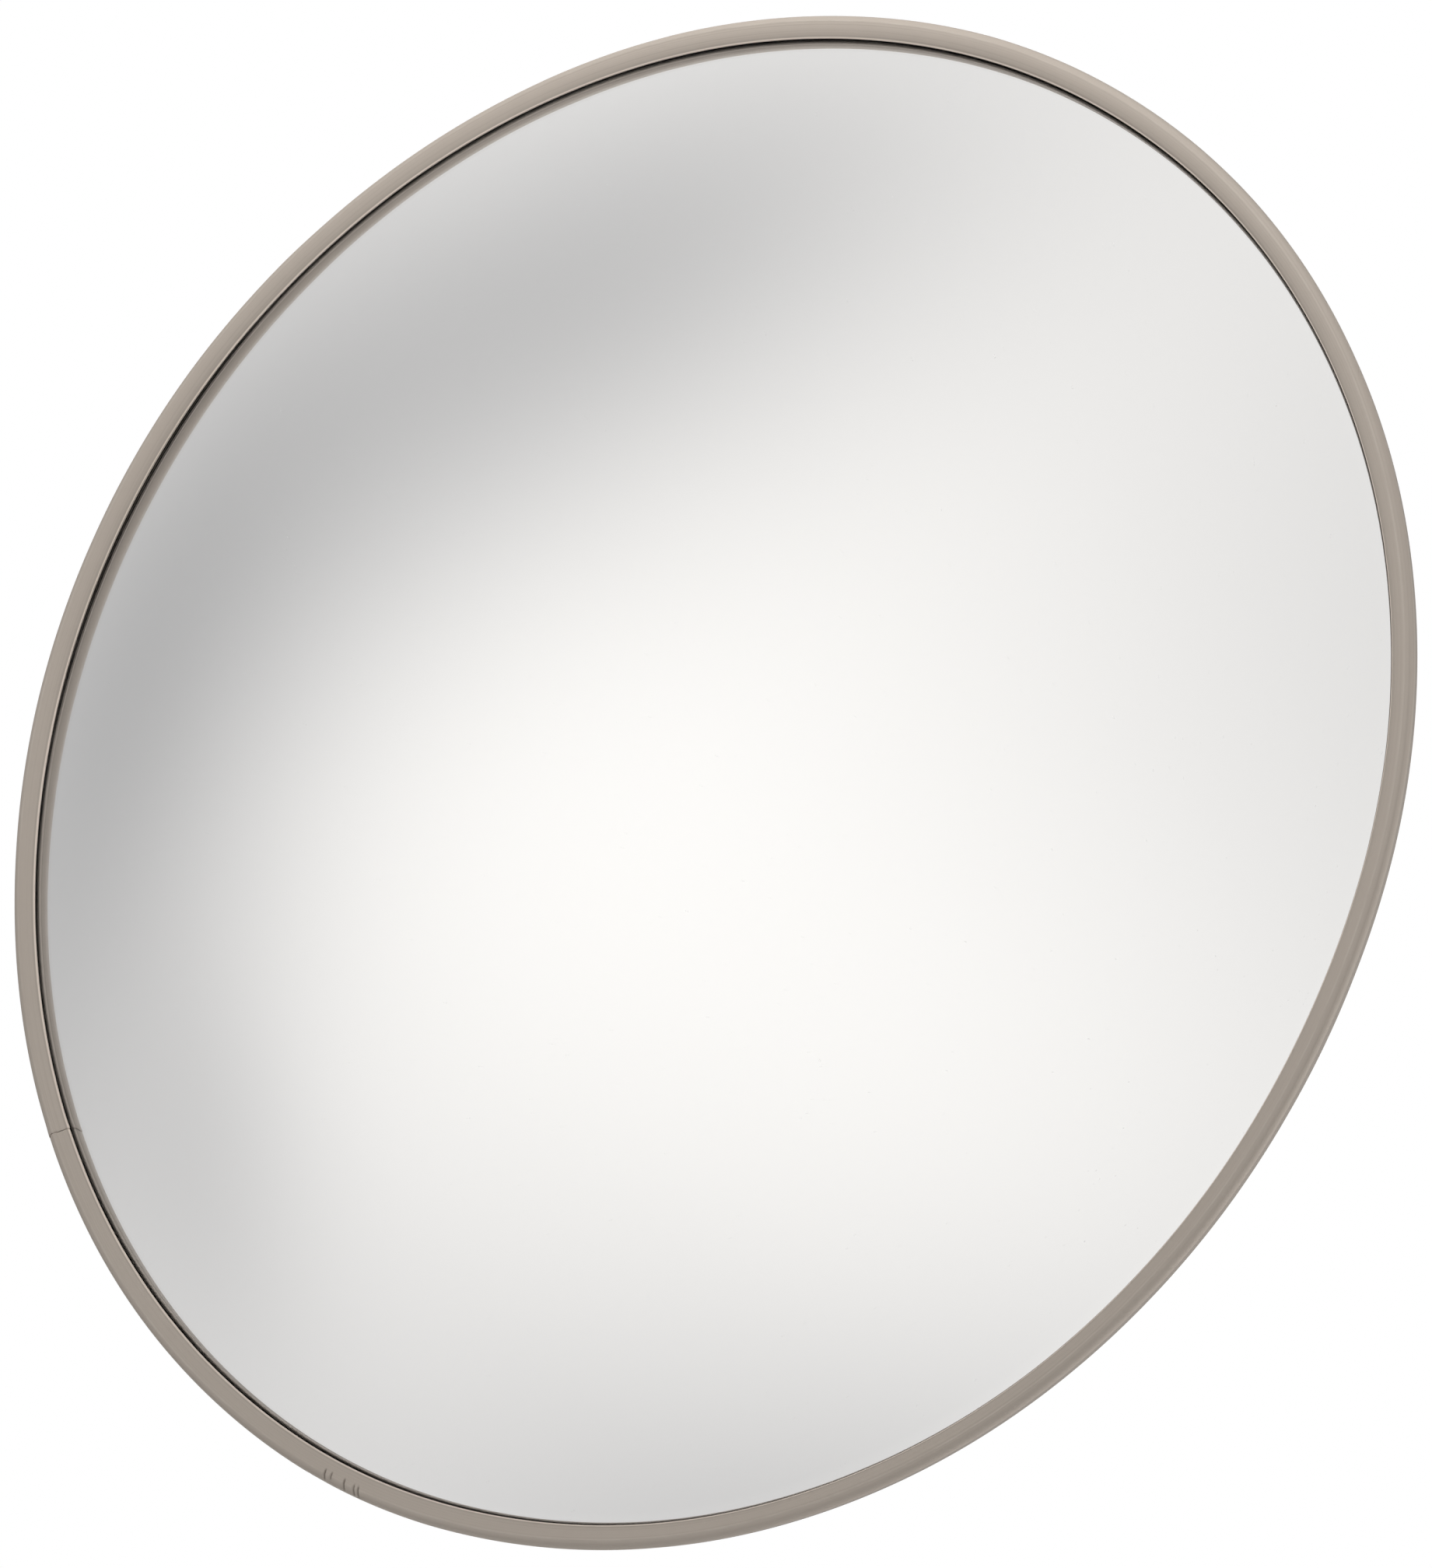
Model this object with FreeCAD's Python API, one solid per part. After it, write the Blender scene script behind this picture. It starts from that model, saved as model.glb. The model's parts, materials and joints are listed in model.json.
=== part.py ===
import FreeCAD, Part
import math
import os

# Convex security mirror on a two-axis wall arm. Millimetres.
# Origin: centre of the wall plate's back face, on the wall plane y = 0.
# -Y points out of the wall, towards the mirror. +Z is up. +X is to the right seen from the front.

os.makedirs("parts", exist_ok=True)

V = FreeCAD.Vector
RIGHT, LEFT = V(1, 0, 0), V(-1, 0, 0)
UP, DOWN = V(0, 0, 1), V(0, 0, -1)
OUTWARD, WALLWARD = V(0, -1, 0), V(0, 1, 0)

# ---- sizes ---------------------------------------------------------------------
# Mirror head. A "depth" is measured towards the wall from the trim's front crest.
TRIM_R = 460.0
TRIM_DEPTH = 12.6         # front crest to back face
ROLL_R = 4.6              # the trim's front outer roll
FRONT_LIP_R = 446.0       # inner edge of the trim's front lip
FRONT_LIP_DEPTH = 4.7     # the same edge, at its middle
BACK_LIP_R = 447.0        # inner edge of the trim's back lip
BACK_ROUND_R = 2.8
BACK_DRAW_IN = 1.2        # the trim's outer wall draws in by this towards the back
SEAM_DEG = 202.0          # butt seam, anticlockwise from +X seen from the front
SEAM_GAP = 0.5
TRIM_LENGTHS = 6          # arcs joined end to end to make the long ring

SHEET_R = 457.0
SHEET_T = 2.2
FLANGE_DEPTH = 6.5        # front face of the sheet's flat flange
DOME_R = 900.0            # spherical radius of the mirror face
DOME_BASE_R = 446.8       # where the dome meets its flange, hidden under the lip
DOME_FILLET_FRONT = 2.0
DOME_FILLET_BACK = 4.0

BOARD_R = 456.5
BOARD_FRONT_DEPTH = 8.75
BOARD_BACK_DEPTH = 11.25

# Arm and its two axes
PAN_Y = -45.0             # pan axis, parallel to Z
ARM_LEN = 270.0           # pan axis to tilt axis
TILT_Y = PAN_Y - ARM_LEN  # tilt axis, parallel to X, at z = 0
HEAD_OFFSET = 45.7        # tilt axis to the trim's back plane
CREST_Y = TILT_Y - HEAD_OFFSET - TRIM_DEPTH
TUBE_R = 12.5
TUBE_WALL = 2.0
BARREL_R = 14.0
BARREL_BORE_R = 9.0
BARREL_HALF = 20.0
BARREL_CHAMFER = 0.6
BUSH_LEN = 14.0
BUSH_FLANGE_R = BARREL_R - 0.6
BUSH_FLANGE_T = 1.95

# Bolts and nuts, the same on both axes
BOLT_R = 5.0
BOLT_TIP = 1.0            # lead-in chamfer
NUT_BORE_R = BOLT_R + 0.05
BUSH_BORE_R = BOLT_R + 0.06
EAR_HOLE_R = BOLT_R + 0.15
EAR_GAP_HALF = 22.0       # axis centre to an ear's inner face
EAR_T = 3.0
EAR_OUT = EAR_GAP_HALF + EAR_T
WASHER_R = 10.5
WASHER_T = 2.0
WASHER_CHAMFER = 0.35
NUT_GAP = 0.05            # clearance on each side of the nut washer
HEX_FLATS = 17.0
HEX_H = 6.4
WING_NUT_H = 12.0
BOLT_STICK_OUT = 3.5      # shank beyond the wing nut's hub
SHANK_LEN = 2 * (EAR_OUT + WASHER_T + NUT_GAP) + WING_NUT_H + BOLT_STICK_OUT
# One wing in section: distance from the nut's axis, height above its base
WING_OUTLINE = [
    (4.0, 0.8), (9.0, 1.4), (15.5, 6.5), (20.5, 13.0), (21.6, 18.6),
    (19.4, 21.4), (16.0, 21.0), (12.2, 16.2), (7.2, 10.8), (4.0, 9.8),
]
WING_T = 3.6

# Wall plate, yoke and rivets
PLATE_SIDE = 120.0
PLATE_T = 4.0
PLATE_CORNER_R = 10.0
PLATE_EDGE_R = 0.9
WALL_HOLE_R = 4.25
WALL_HOLE_PITCH = 90.0
YOKE_T = 3.0
YOKE_W = 44.0
YOKE_BEND_R = 3.0         # inside radius
YOKE_BACK_Y = -PLATE_T
YOKE_FRONT_Y = YOKE_BACK_Y - YOKE_T
RIVET_R = 2.5
RIVET_HOLE_R = RIVET_R + 0.05
RIVET_HEAD_R = 4.8
RIVET_HEAD_H = 2.4
SINK_DEPTH = 2.0          # countersink in the plate's back, and its spread in radius
RIVET_FOOT = 1.95         # the rivet's flared foot, likewise

# Head bracket, reinforcing plate and their screws
BRACKET_W = 110.0
BRACKET_H = 80.0
BRACKET_T = 3.0
BRACKET_CORNER_R = 9.0
BRACKET_FRONT_Y = CREST_Y + BOARD_BACK_DEPTH
BRACKET_BACK_Y = BRACKET_FRONT_Y + BRACKET_T
BRACKET_EAR_R = 18.0      # round end about the tilt axis
EAR_ROOT_HALF = 30.0
EAR_LEAN_DEG = 15.0       # where the ear's side meets its round end
REINF_W = 130.0
REINF_H = 100.0
REINF_T = 2.0
REINF_CORNER_R = 8.0
SCREW_R = 3.0
SCREW_HOLE_R = 3.3
SCREW_TIP = 0.6
PAN_HEAD_R = 6.0
PAN_HEAD_H = 3.6
PAN_HEAD_ROUND = 1.6
RECESS_LEN = 7.0
RECESS_W = 1.3
SCREW_NUT_FLATS = 10.0
SCREW_NUT_H = 5.0
SCREW_STICK_OUT = 2.0
LOCK_R = 5.6
LOCK_T = 1.6
LOCK_SLOT = 0.9
LOCK_SLANT_DEG = 25
SCREW_HEAD_Y = CREST_Y + BOARD_FRONT_DEPTH - REINF_T    # underside of the heads
SCREW_NUT_Y = BRACKET_BACK_Y + LOCK_T
SCREW_LEN = SCREW_NUT_Y + SCREW_NUT_H + SCREW_STICK_OUT - SCREW_HEAD_Y


def corners(half_x, half_z):
    """The four (x, z) corners of a rectangle about the origin."""
    return [(sx * half_x, sz * half_z) for sx in (1, -1) for sz in (1, -1)]


WALL_HOLES = corners(WALL_HOLE_PITCH / 2, WALL_HOLE_PITCH / 2)
RIVET_PLACES = corners(14.0, 13.0)
SCREW_PLACES = corners(42.0, 27.0)


# ---- helpers -------------------------------------------------------------------
def export(shape, name):
    """Writes one piece; a single solid first has its split faces merged."""
    shape = shape.removeSplitter() if len(shape.Solids) == 1 else shape
    assert shape.isValid(), name
    shape.exportStep("parts/" + name + ".step")


def ring(outer_r, inner_r, height, base, axis):
    inner = Part.makeCylinder(inner_r, height + 2.0, base - axis, axis)
    return Part.makeCylinder(outer_r, height, base, axis).cut(inner)


def chamfer_rims(shape, size, radius, axis):
    """Chamfers the circular edges of a radius about an axis."""
    return shape.makeChamfer(size, [
        e for e in shape.Edges
        if isinstance(e.Curve, Part.Circle)
        and abs(e.Curve.Radius - radius) < 1e-6
        and abs(abs(e.Curve.Axis.dot(axis)) - 1) < 1e-6
    ])


def flat_edges(shape, axis_name, level):
    """Edges lying wholly at one level along "Y" or "Z"."""
    return [
        e for e in shape.Edges
        if abs(getattr(e.BoundBox, axis_name + "Min") - level) < 1e-6
        and abs(getattr(e.BoundBox, axis_name + "Max") - level) < 1e-6
    ]


def rounded_plate(width, height, thick, corner_r, back_y):
    """Plate in the XZ plane, from back_y outwards, with rounded corners."""
    box = Part.makeBox(width, thick, height, V(-width / 2, back_y - thick, -height / 2))
    corner_edges = [
        e for e in box.Edges
        if abs(e.Vertexes[0].Point.y - e.Vertexes[-1].Point.y) > thick * 0.9
    ]
    return box.makeFillet(corner_r, corner_edges)


def drill(shape, places, radius, start_y):
    """Cuts a 20 mm long hole towards the wall from start_y at each (x, z)."""
    for x, z in places:
        shape = shape.cut(Part.makeCylinder(radius, 20.0, V(x, start_y, z), WALLWARD))
    return shape


def place(shape, base, axis):
    """Moves a shape built on +Z from the origin so that it stands on base along axis."""
    shape = shape.copy()
    turn = FreeCAD.Placement(base, FreeCAD.Rotation(UP, axis))
    shape.Placement = turn.multiply(shape.Placement)
    return shape


def hex_prism(flats, height):
    """Hex prism on +Z from z = 0, its top corners turned off at 30 degrees."""
    corner_r = flats / math.sqrt(3.0)
    angles = [math.radians(60 * i) for i in range(7)]
    outline = [V(corner_r * math.cos(a), corner_r * math.sin(a), 0) for a in angles]
    solid = Part.Face(Part.makePolygon(outline)).extrude(V(0, 0, height))
    # the cone starts 1 mm below the prism and ends just inside the flats at its top
    top_r = flats / 2 - 0.25
    cone_h = height + 1.0
    bottom_r = top_r + cone_h / math.tan(math.radians(30))
    return solid.common(Part.makeCone(bottom_r, top_r, cone_h, V(0, 0, -1.0), UP))


def add_shank(head, radius, length, tip):
    """Fuses a shank on +Z, with a lead-in chamfer at its end, to a head below z = 0."""
    shank = Part.makeCylinder(radius, length - tip, V(0, 0, 0), UP)
    cone = Part.makeCone(radius, radius - tip, tip, V(0, 0, length - tip), UP)
    return head.fuse(shank).fuse(cone)


# ---- mirror sections: points are (radius, depth) ---------------------------------
def section_point(point):
    return V(point[0], CREST_Y + point[1], 0)


def line(start, end):
    return Part.makeLine(section_point(start), section_point(end))


def arc(start, middle, end):
    return Part.Arc(section_point(start), section_point(middle), section_point(end))


def split_arc(start, middle, end, count):
    """The arc through three points as equal arcs end to end, one face each."""
    whole = arc(start, middle, end)
    first, last = whole.FirstParameter, whole.LastParameter
    p = [whole.value(first + (last - first) * i / (2.0 * count)) for i in range(2 * count + 1)]
    return [Part.Arc(p[2 * i], p[2 * i + 1], p[2 * i + 2]).toShape() for i in range(count)]


def revolve_section(edges, start_deg=0.0, sweep_deg=360.0):
    """Revolves a closed section about the Y axis, anticlockwise seen from the front."""
    face = Part.Face(Part.Wire(Part.__sortEdges__(edges)))
    face.rotate(V(0, 0, 0), OUTWARD, start_deg)
    return face.revolve(V(0, 0, 0), OUTWARD, sweep_deg)


def rim_edges(shape, radius, depth):
    y = CREST_Y + depth
    return [
        e for e in shape.Edges
        if abs(e.BoundBox.YMin - y) < 1e-4
        and abs(e.BoundBox.YMax - y) < 1e-4
        and abs(e.BoundBox.XMax - radius) < 1e-2
    ]


def mirror_dome():
    """Domed sheet with a flat flange round it."""
    centre_depth = FLANGE_DEPTH + math.sqrt(DOME_R ** 2 - DOME_BASE_R ** 2)
    back_dome_r = DOME_R - SHEET_T
    flange_back = FLANGE_DEPTH + SHEET_T
    back_base_r = math.sqrt(back_dome_r ** 2 - (centre_depth - flange_back) ** 2)

    def halfway(sphere_r, base_r):
        angle = math.asin(base_r / sphere_r) / 2
        return (sphere_r * math.sin(angle), centre_depth - sphere_r * math.cos(angle))

    front_apex = (0, centre_depth - DOME_R)
    back_apex = (0, centre_depth - back_dome_r)
    front_base = (DOME_BASE_R, FLANGE_DEPTH)
    back_base = (back_base_r, flange_back)
    dome = revolve_section([
        arc(front_apex, halfway(DOME_R, DOME_BASE_R), front_base).toShape(),
        line(front_base, (SHEET_R, FLANGE_DEPTH)),
        line((SHEET_R, FLANGE_DEPTH), (SHEET_R, flange_back)),
        line((SHEET_R, flange_back), back_base),
        arc(back_base, halfway(back_dome_r, back_base_r), back_apex).toShape(),
        line(back_apex, front_apex),
    ])
    dome = dome.makeFillet(DOME_FILLET_FRONT, rim_edges(dome, *front_base))
    return dome.makeFillet(DOME_FILLET_BACK, rim_edges(dome, *back_base))


def trim_section():
    """C-shaped channel, open towards the mirror's axis."""
    diagonal = math.sqrt(0.5)
    crest_r = TRIM_R - ROLL_R
    crest = (crest_r, 0.0)
    roll_outer = (TRIM_R, ROLL_R)
    roll_middle = (crest_r + ROLL_R * diagonal, ROLL_R - ROLL_R * diagonal)

    lip_front = (FRONT_LIP_R + 0.55, FRONT_LIP_DEPTH - 0.8)
    lip_edge = (FRONT_LIP_R, FRONT_LIP_DEPTH)
    lip_back = (FRONT_LIP_R + 0.60, FRONT_LIP_DEPTH + 0.8)
    face_middle = (0.5 * (crest_r + lip_front[0]), 0.5 * lip_front[1] - 0.62)

    web_r = SHEET_R + 0.1
    channel_back = BOARD_BACK_DEPTH + 0.10
    web_front = (web_r, FLANGE_DEPTH - 0.1)
    web_back = (web_r, channel_back)

    back_lip_front = (BACK_LIP_R + 0.75, channel_back)
    back_lip_edge = (BACK_LIP_R, 0.5 * (TRIM_DEPTH + channel_back))
    back_lip_back = (BACK_LIP_R + 0.75, TRIM_DEPTH)

    wall_back_r = TRIM_R - BACK_DRAW_IN
    inset = BACK_ROUND_R * (1 - diagonal)
    round_outer = (wall_back_r, TRIM_DEPTH - BACK_ROUND_R)
    round_middle = (wall_back_r - inset, TRIM_DEPTH - inset)
    round_inner = (wall_back_r - BACK_ROUND_R, TRIM_DEPTH)

    return (
        split_arc(roll_outer, roll_middle, crest, 4)
        + split_arc(crest, face_middle, lip_front, 3)
        + split_arc(lip_front, lip_edge, lip_back, 3)
        + [line(lip_back, web_front), line(web_front, web_back), line(web_back, back_lip_front)]
        + split_arc(back_lip_front, back_lip_edge, back_lip_back, 3)
        + [line(back_lip_back, round_inner)]
        + split_arc(round_inner, round_middle, round_outer, 3)
        + [line(round_outer, roll_outer)]
    )


def edge_trim():
    """One long ring with its ends butted at the seam."""
    edges = trim_section()
    gap_deg = math.degrees(SEAM_GAP / TRIM_R)
    step_deg = (360.0 - gap_deg) / TRIM_LENGTHS
    trim = None
    for i in range(TRIM_LENGTHS):
        length = revolve_section(edges, SEAM_DEG + gap_deg / 2 + i * step_deg, step_deg)
        trim = length if trim is None else trim.fuse(length)
    return trim.Solids[0]


export(mirror_dome(), "mirror_dome")
# written directly, so that the faces of the six lengths stay separate
edge_trim().exportStep("parts/edge_trim.step")


# ---- backing board, reinforcing plate, head bracket --------------------------------
def backing_board():
    front_y = CREST_Y + BOARD_FRONT_DEPTH
    thick = BOARD_BACK_DEPTH - BOARD_FRONT_DEPTH
    board = Part.makeCylinder(BOARD_R, thick, V(0, front_y, 0), WALLWARD)
    return drill(board, SCREW_PLACES, SCREW_HOLE_R, front_y - 8.0)


def reinforcing_plate():
    """Plate against the board's front face, inside the dome."""
    back_y = CREST_Y + BOARD_FRONT_DEPTH
    plate = rounded_plate(REINF_W, REINF_H, REINF_T, REINF_CORNER_R, back_y)
    return drill(plate, SCREW_PLACES, SCREW_HOLE_R, back_y - 10.0)


def bracket_ear(x):
    """Ear in the YZ plane: straight sides from the plate to a round end about the tilt axis."""
    lean = math.radians(EAR_LEAN_DEG)
    root_y = BRACKET_BACK_Y - 1.0    # sunk into the plate
    side_y = TILT_Y + BRACKET_EAR_R * math.sin(lean)
    side_z = BRACKET_EAR_R * math.cos(lean)
    root_low, root_high = V(x, root_y, -EAR_ROOT_HALF), V(x, root_y, EAR_ROOT_HALF)
    low, high = V(x, side_y, -side_z), V(x, side_y, side_z)
    outline = Part.Wire([
        Part.makeLine(root_low, low),
        Part.Arc(low, V(x, TILT_Y + BRACKET_EAR_R, 0), high).toShape(),
        Part.makeLine(high, root_high),
        Part.makeLine(root_high, root_low),
    ])
    return Part.Face(outline).extrude(V(EAR_T, 0, 0))


def head_bracket():
    bracket = rounded_plate(BRACKET_W, BRACKET_H, BRACKET_T, BRACKET_CORNER_R, BRACKET_BACK_Y)
    for x in (EAR_GAP_HALF, -EAR_OUT):
        bracket = bracket.fuse(bracket_ear(x))
    bracket = bracket.cut(Part.makeCylinder(EAR_HOLE_R, 120.0, V(-60, TILT_Y, 0), RIGHT))
    return drill(bracket, SCREW_PLACES, SCREW_HOLE_R, BRACKET_FRONT_Y - 8.0)


export(backing_board(), "backing_board")
export(reinforcing_plate(), "reinforcing_plate")
export(head_bracket(), "head_bracket")


# ---- bracket screws, lock washers, nuts ---------------------------------------------
def pan_screw():
    """Pan head below z = 0 with a cross recess, shank up along +Z."""
    head = Part.makeCylinder(PAN_HEAD_R, PAN_HEAD_H, V(0, 0, -PAN_HEAD_H), UP)
    head = head.makeFillet(PAN_HEAD_ROUND, flat_edges(head, "Z", -PAN_HEAD_H))
    for angle in (0, 90):
        corner = V(-RECESS_LEN / 2, -RECESS_W / 2, -PAN_HEAD_H - 0.1)
        bar = Part.makeBox(RECESS_LEN, RECESS_W, 2.0, corner)
        bar.rotate(V(0, 0, 0), UP, angle)
        head = head.cut(bar)
    return add_shank(head, SCREW_R, SCREW_LEN, SCREW_TIP)


def lock_washer():
    """Split ring on +Z with one slanting gap."""
    body = ring(LOCK_R, SCREW_R + 0.15, LOCK_T, V(0, 0, 0), UP)
    slot = Part.makeBox(LOCK_R * 2, LOCK_SLOT, LOCK_T * 3, V(0, -LOCK_SLOT / 2, -LOCK_T))
    slot.rotate(V(0, 0, LOCK_T / 2), RIGHT, LOCK_SLANT_DEG)
    return body.cut(slot)


def screw_nut():
    nut = hex_prism(SCREW_NUT_FLATS, SCREW_NUT_H)
    return nut.cut(Part.makeCylinder(SCREW_R + 0.05, 20.0, V(0, 0, -5), UP))


for make, y, name in (
    (pan_screw, SCREW_HEAD_Y, "bracket_screws"),
    (lock_washer, BRACKET_BACK_Y, "bracket_lock_washers"),
    (screw_nut, SCREW_NUT_Y, "bracket_nuts"),
):
    copies = [place(make(), V(x, y, z), WALLWARD) for x, z in SCREW_PLACES]
    export(Part.makeCompound(copies), name)


# ---- the two clamped axes -------------------------------------------------------------
def hex_bolt():
    """Head below z = 0, shank up along +Z."""
    head = hex_prism(HEX_FLATS, HEX_H)
    head.rotate(V(0, 0, 0), RIGHT, 180)
    return add_shank(head, BOLT_R, SHANK_LEN, BOLT_TIP)


def wing_blade(side):
    """One wing: a smooth outline with a straight root buried in the hub."""
    points = [V(side * x, 0, z) for x, z in WING_OUTLINE]
    curve = Part.BSplineCurve()
    curve.interpolate(points)
    outline = Part.Wire([curve.toShape(), Part.makeLine(points[-1], points[0])])
    blade = Part.Face(outline)
    blade.translate(V(0, -WING_T / 2, 0))
    return blade.extrude(V(0, WING_T, 0))


def wing_nut():
    """Hub on +Z from z = 0 with two wings, bored through."""
    hub = Part.makeCone(9.5, 7.4, WING_NUT_H, V(0, 0, 0), UP)
    nut = hub.fuse(wing_blade(1).fuse(wing_blade(-1)))
    return nut.cut(Part.makeCylinder(NUT_BORE_R, 40.0, V(0, 0, -10.0), UP))


def axis_washer(bore_r, base, axis):
    washer = ring(WASHER_R, bore_r, WASHER_T, base, axis)
    return chamfer_rims(washer, WASHER_CHAMFER, WASHER_R, axis)


def export_axis_set(centre, toward_nut, prefix):
    """Bolt, washers and wing nut; toward_nut points from the bolt's head to its nut."""
    head_base = centre - toward_nut * (EAR_OUT + WASHER_T)
    washer_base = centre + toward_nut * (EAR_OUT + NUT_GAP)
    nut_base = centre + toward_nut * (EAR_OUT + WASHER_T + NUT_GAP * 2)
    export(place(hex_bolt(), head_base, toward_nut), prefix + "_bolt")
    export(axis_washer(BOLT_R + 0.25, head_base, toward_nut), prefix + "_head_washer")
    export(axis_washer(BOLT_R + 0.05, washer_base, toward_nut), prefix + "_nut_washer")
    export(place(wing_nut(), nut_base, toward_nut), prefix + "_wing_nut")


export_axis_set(V(0, PAN_Y, 0), DOWN, "pan")
export_axis_set(V(0, TILT_Y, 0), RIGHT, "tilt")


# ---- arm: two barrels, a coped tube, four flanged bushes --------------------------------
def barrel(base, axis):
    body = ring(BARREL_R, BARREL_BORE_R, 2 * BARREL_HALF, base, axis)
    return chamfer_rims(body, BARREL_CHAMFER, BARREL_R, axis)


def arm_tube():
    """Tube between the axes, its ends coped to the barrels."""
    tube = ring(TUBE_R, TUBE_R - TUBE_WALL, ARM_LEN, V(0, PAN_Y, 0), OUTWARD)
    tube = tube.cut(Part.makeCylinder(BARREL_R, 200.0, V(0, PAN_Y, -100), UP))
    tube = tube.cut(Part.makeCylinder(BARREL_R, 200.0, V(-100, TILT_Y, 0), RIGHT))
    return max(tube.Solids, key=lambda s: s.Volume)


def flanged_bush():
    """Sleeve on -Z from z = 0, flange above it on +Z."""
    body = Part.makeCylinder(BARREL_BORE_R - 0.02, BUSH_LEN, V(0, 0, -BUSH_LEN), UP)
    flange = Part.makeCylinder(BUSH_FLANGE_R, BUSH_FLANGE_T, V(0, 0, 0), UP)
    flange = flange.makeChamfer(0.4, flat_edges(flange, "Z", BUSH_FLANGE_T))
    bush = body.fuse(flange)
    return bush.cut(Part.makeCylinder(BUSH_BORE_R, 40.0, V(0, 0, -25.0), UP))


export(barrel(V(0, PAN_Y, -BARREL_HALF), UP), "rear_barrel")
export(barrel(V(-BARREL_HALF, TILT_Y, 0), RIGHT), "front_barrel")
export(arm_tube(), "arm_tube")
for axis_y, axis, name in (
    (PAN_Y, UP, "rear_bush_upper"), (PAN_Y, DOWN, "rear_bush_lower"),
    (TILT_Y, RIGHT, "front_bush_right"), (TILT_Y, LEFT, "front_bush_left"),
):
    export(place(flanged_bush(), V(0, axis_y, 0) + axis * BARREL_HALF, axis), name)


# ---- wall plate, yoke, rivets -------------------------------------------------------------
def wall_plate():
    plate = rounded_plate(PLATE_SIDE, PLATE_SIDE, PLATE_T, PLATE_CORNER_R, 0.0)
    front_edges = [e for e in plate.Edges if e.BoundBox.YMax < -PLATE_T + 1e-6]
    plate = plate.makeFillet(PLATE_EDGE_R, front_edges)
    plate = drill(plate, WALL_HOLES, WALL_HOLE_R, -10.0)
    for x, z in RIVET_PLACES:
        plate = drill(plate, [(x, z)], RIVET_HOLE_R, -10.0)
        plate = plate.cut(Part.makeCone(
            RIVET_HOLE_R, RIVET_HOLE_R + SINK_DEPTH, SINK_DEPTH, V(x, -SINK_DEPTH, z), WALLWARD))
    return plate


def fillet_bends(shape, radius, y):
    """Rounds the edges along X at one y."""
    bends = [e for e in flat_edges(shape, "Y", y) if e.BoundBox.XLength > 10]
    return shape.makeFillet(radius, bends)


def wall_yoke():
    """U-shaped strap: a web on the wall plate and two round-ended ears about the pan axis."""
    outer = Part.makeBox(
        YOKE_W, -PAN_Y - PLATE_T, 2 * EAR_OUT, V(-YOKE_W / 2, PAN_Y, -EAR_OUT))
    outer = outer.fuse(Part.makeCylinder(YOKE_W / 2, 2 * EAR_OUT, V(0, PAN_Y, -EAR_OUT), UP))
    inside = Part.makeBox(
        YOKE_W + 40, 200.0, 2 * EAR_GAP_HALF,
        V(-YOKE_W / 2 - 20, YOKE_FRONT_Y - 200.0, -EAR_GAP_HALF))
    inside = fillet_bends(inside, YOKE_BEND_R, YOKE_FRONT_Y)
    outer = fillet_bends(outer.removeSplitter(), YOKE_BEND_R + YOKE_T, YOKE_BACK_Y)
    yoke = outer.cut(inside)
    yoke = yoke.cut(Part.makeCylinder(EAR_HOLE_R, 200.0, V(0, PAN_Y, -100), UP))
    return drill(yoke, RIVET_PLACES, RIVET_HOLE_R, -16.0)


def rivet(x, z):
    """Low round head on the yoke's front face, flared foot in the plate's countersink."""
    front = V(x, YOKE_FRONT_Y, z)
    body = Part.makeCylinder(RIVET_R, PLATE_T + YOKE_T - SINK_DEPTH, front, WALLWARD)
    foot = Part.makeCone(
        RIVET_R, RIVET_R + RIVET_FOOT, RIVET_FOOT, V(x, -SINK_DEPTH, z), WALLWARD)
    ball_r = (RIVET_HEAD_R ** 2 + RIVET_HEAD_H ** 2) / (2 * RIVET_HEAD_H)
    ball = Part.makeSphere(ball_r, V(x, YOKE_FRONT_Y - RIVET_HEAD_H + ball_r, z))
    keep = Part.makeCylinder(RIVET_HEAD_R + 1.0, RIVET_HEAD_H + 1.0, front, OUTWARD)
    return body.fuse(foot).fuse(ball.common(keep)).removeSplitter()


export(wall_plate(), "wall_plate")
export(wall_yoke(), "wall_yoke")
export(Part.makeCompound([rivet(x, z) for x, z in RIVET_PLACES]), "yoke_rivets")
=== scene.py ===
"""A round convex mirror on a jointed wall arm.

The mirror's axis is Y through x = z = 0. The glass faces -Y, the wall side is +Y and Z is up.
Meshes are worked out in millimetres and stored in metres. Sections of the mirror head are in
(r, t): the distance from the axis, and the depth towards +Y from the trim's foremost line.
"""
import json
import math

import bmesh
import bpy
import numpy as np
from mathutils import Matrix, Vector


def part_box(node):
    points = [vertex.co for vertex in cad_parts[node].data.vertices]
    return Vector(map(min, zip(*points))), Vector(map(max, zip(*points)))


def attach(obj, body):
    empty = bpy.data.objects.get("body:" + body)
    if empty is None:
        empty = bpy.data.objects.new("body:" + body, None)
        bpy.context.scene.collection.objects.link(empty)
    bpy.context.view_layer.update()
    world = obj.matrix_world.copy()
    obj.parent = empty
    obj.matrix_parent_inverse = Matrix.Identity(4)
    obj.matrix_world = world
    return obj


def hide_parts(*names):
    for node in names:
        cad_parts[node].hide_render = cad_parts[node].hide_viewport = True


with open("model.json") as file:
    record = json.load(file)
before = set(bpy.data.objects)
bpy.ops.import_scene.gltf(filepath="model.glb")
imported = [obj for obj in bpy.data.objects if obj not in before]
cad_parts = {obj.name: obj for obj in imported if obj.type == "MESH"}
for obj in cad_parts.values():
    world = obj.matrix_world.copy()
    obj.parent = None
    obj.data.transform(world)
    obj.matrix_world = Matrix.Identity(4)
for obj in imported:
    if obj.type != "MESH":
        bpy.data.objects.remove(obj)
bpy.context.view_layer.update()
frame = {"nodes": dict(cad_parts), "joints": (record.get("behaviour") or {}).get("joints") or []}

MM = 0.001
MM_PER_M = 1000.0
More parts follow.
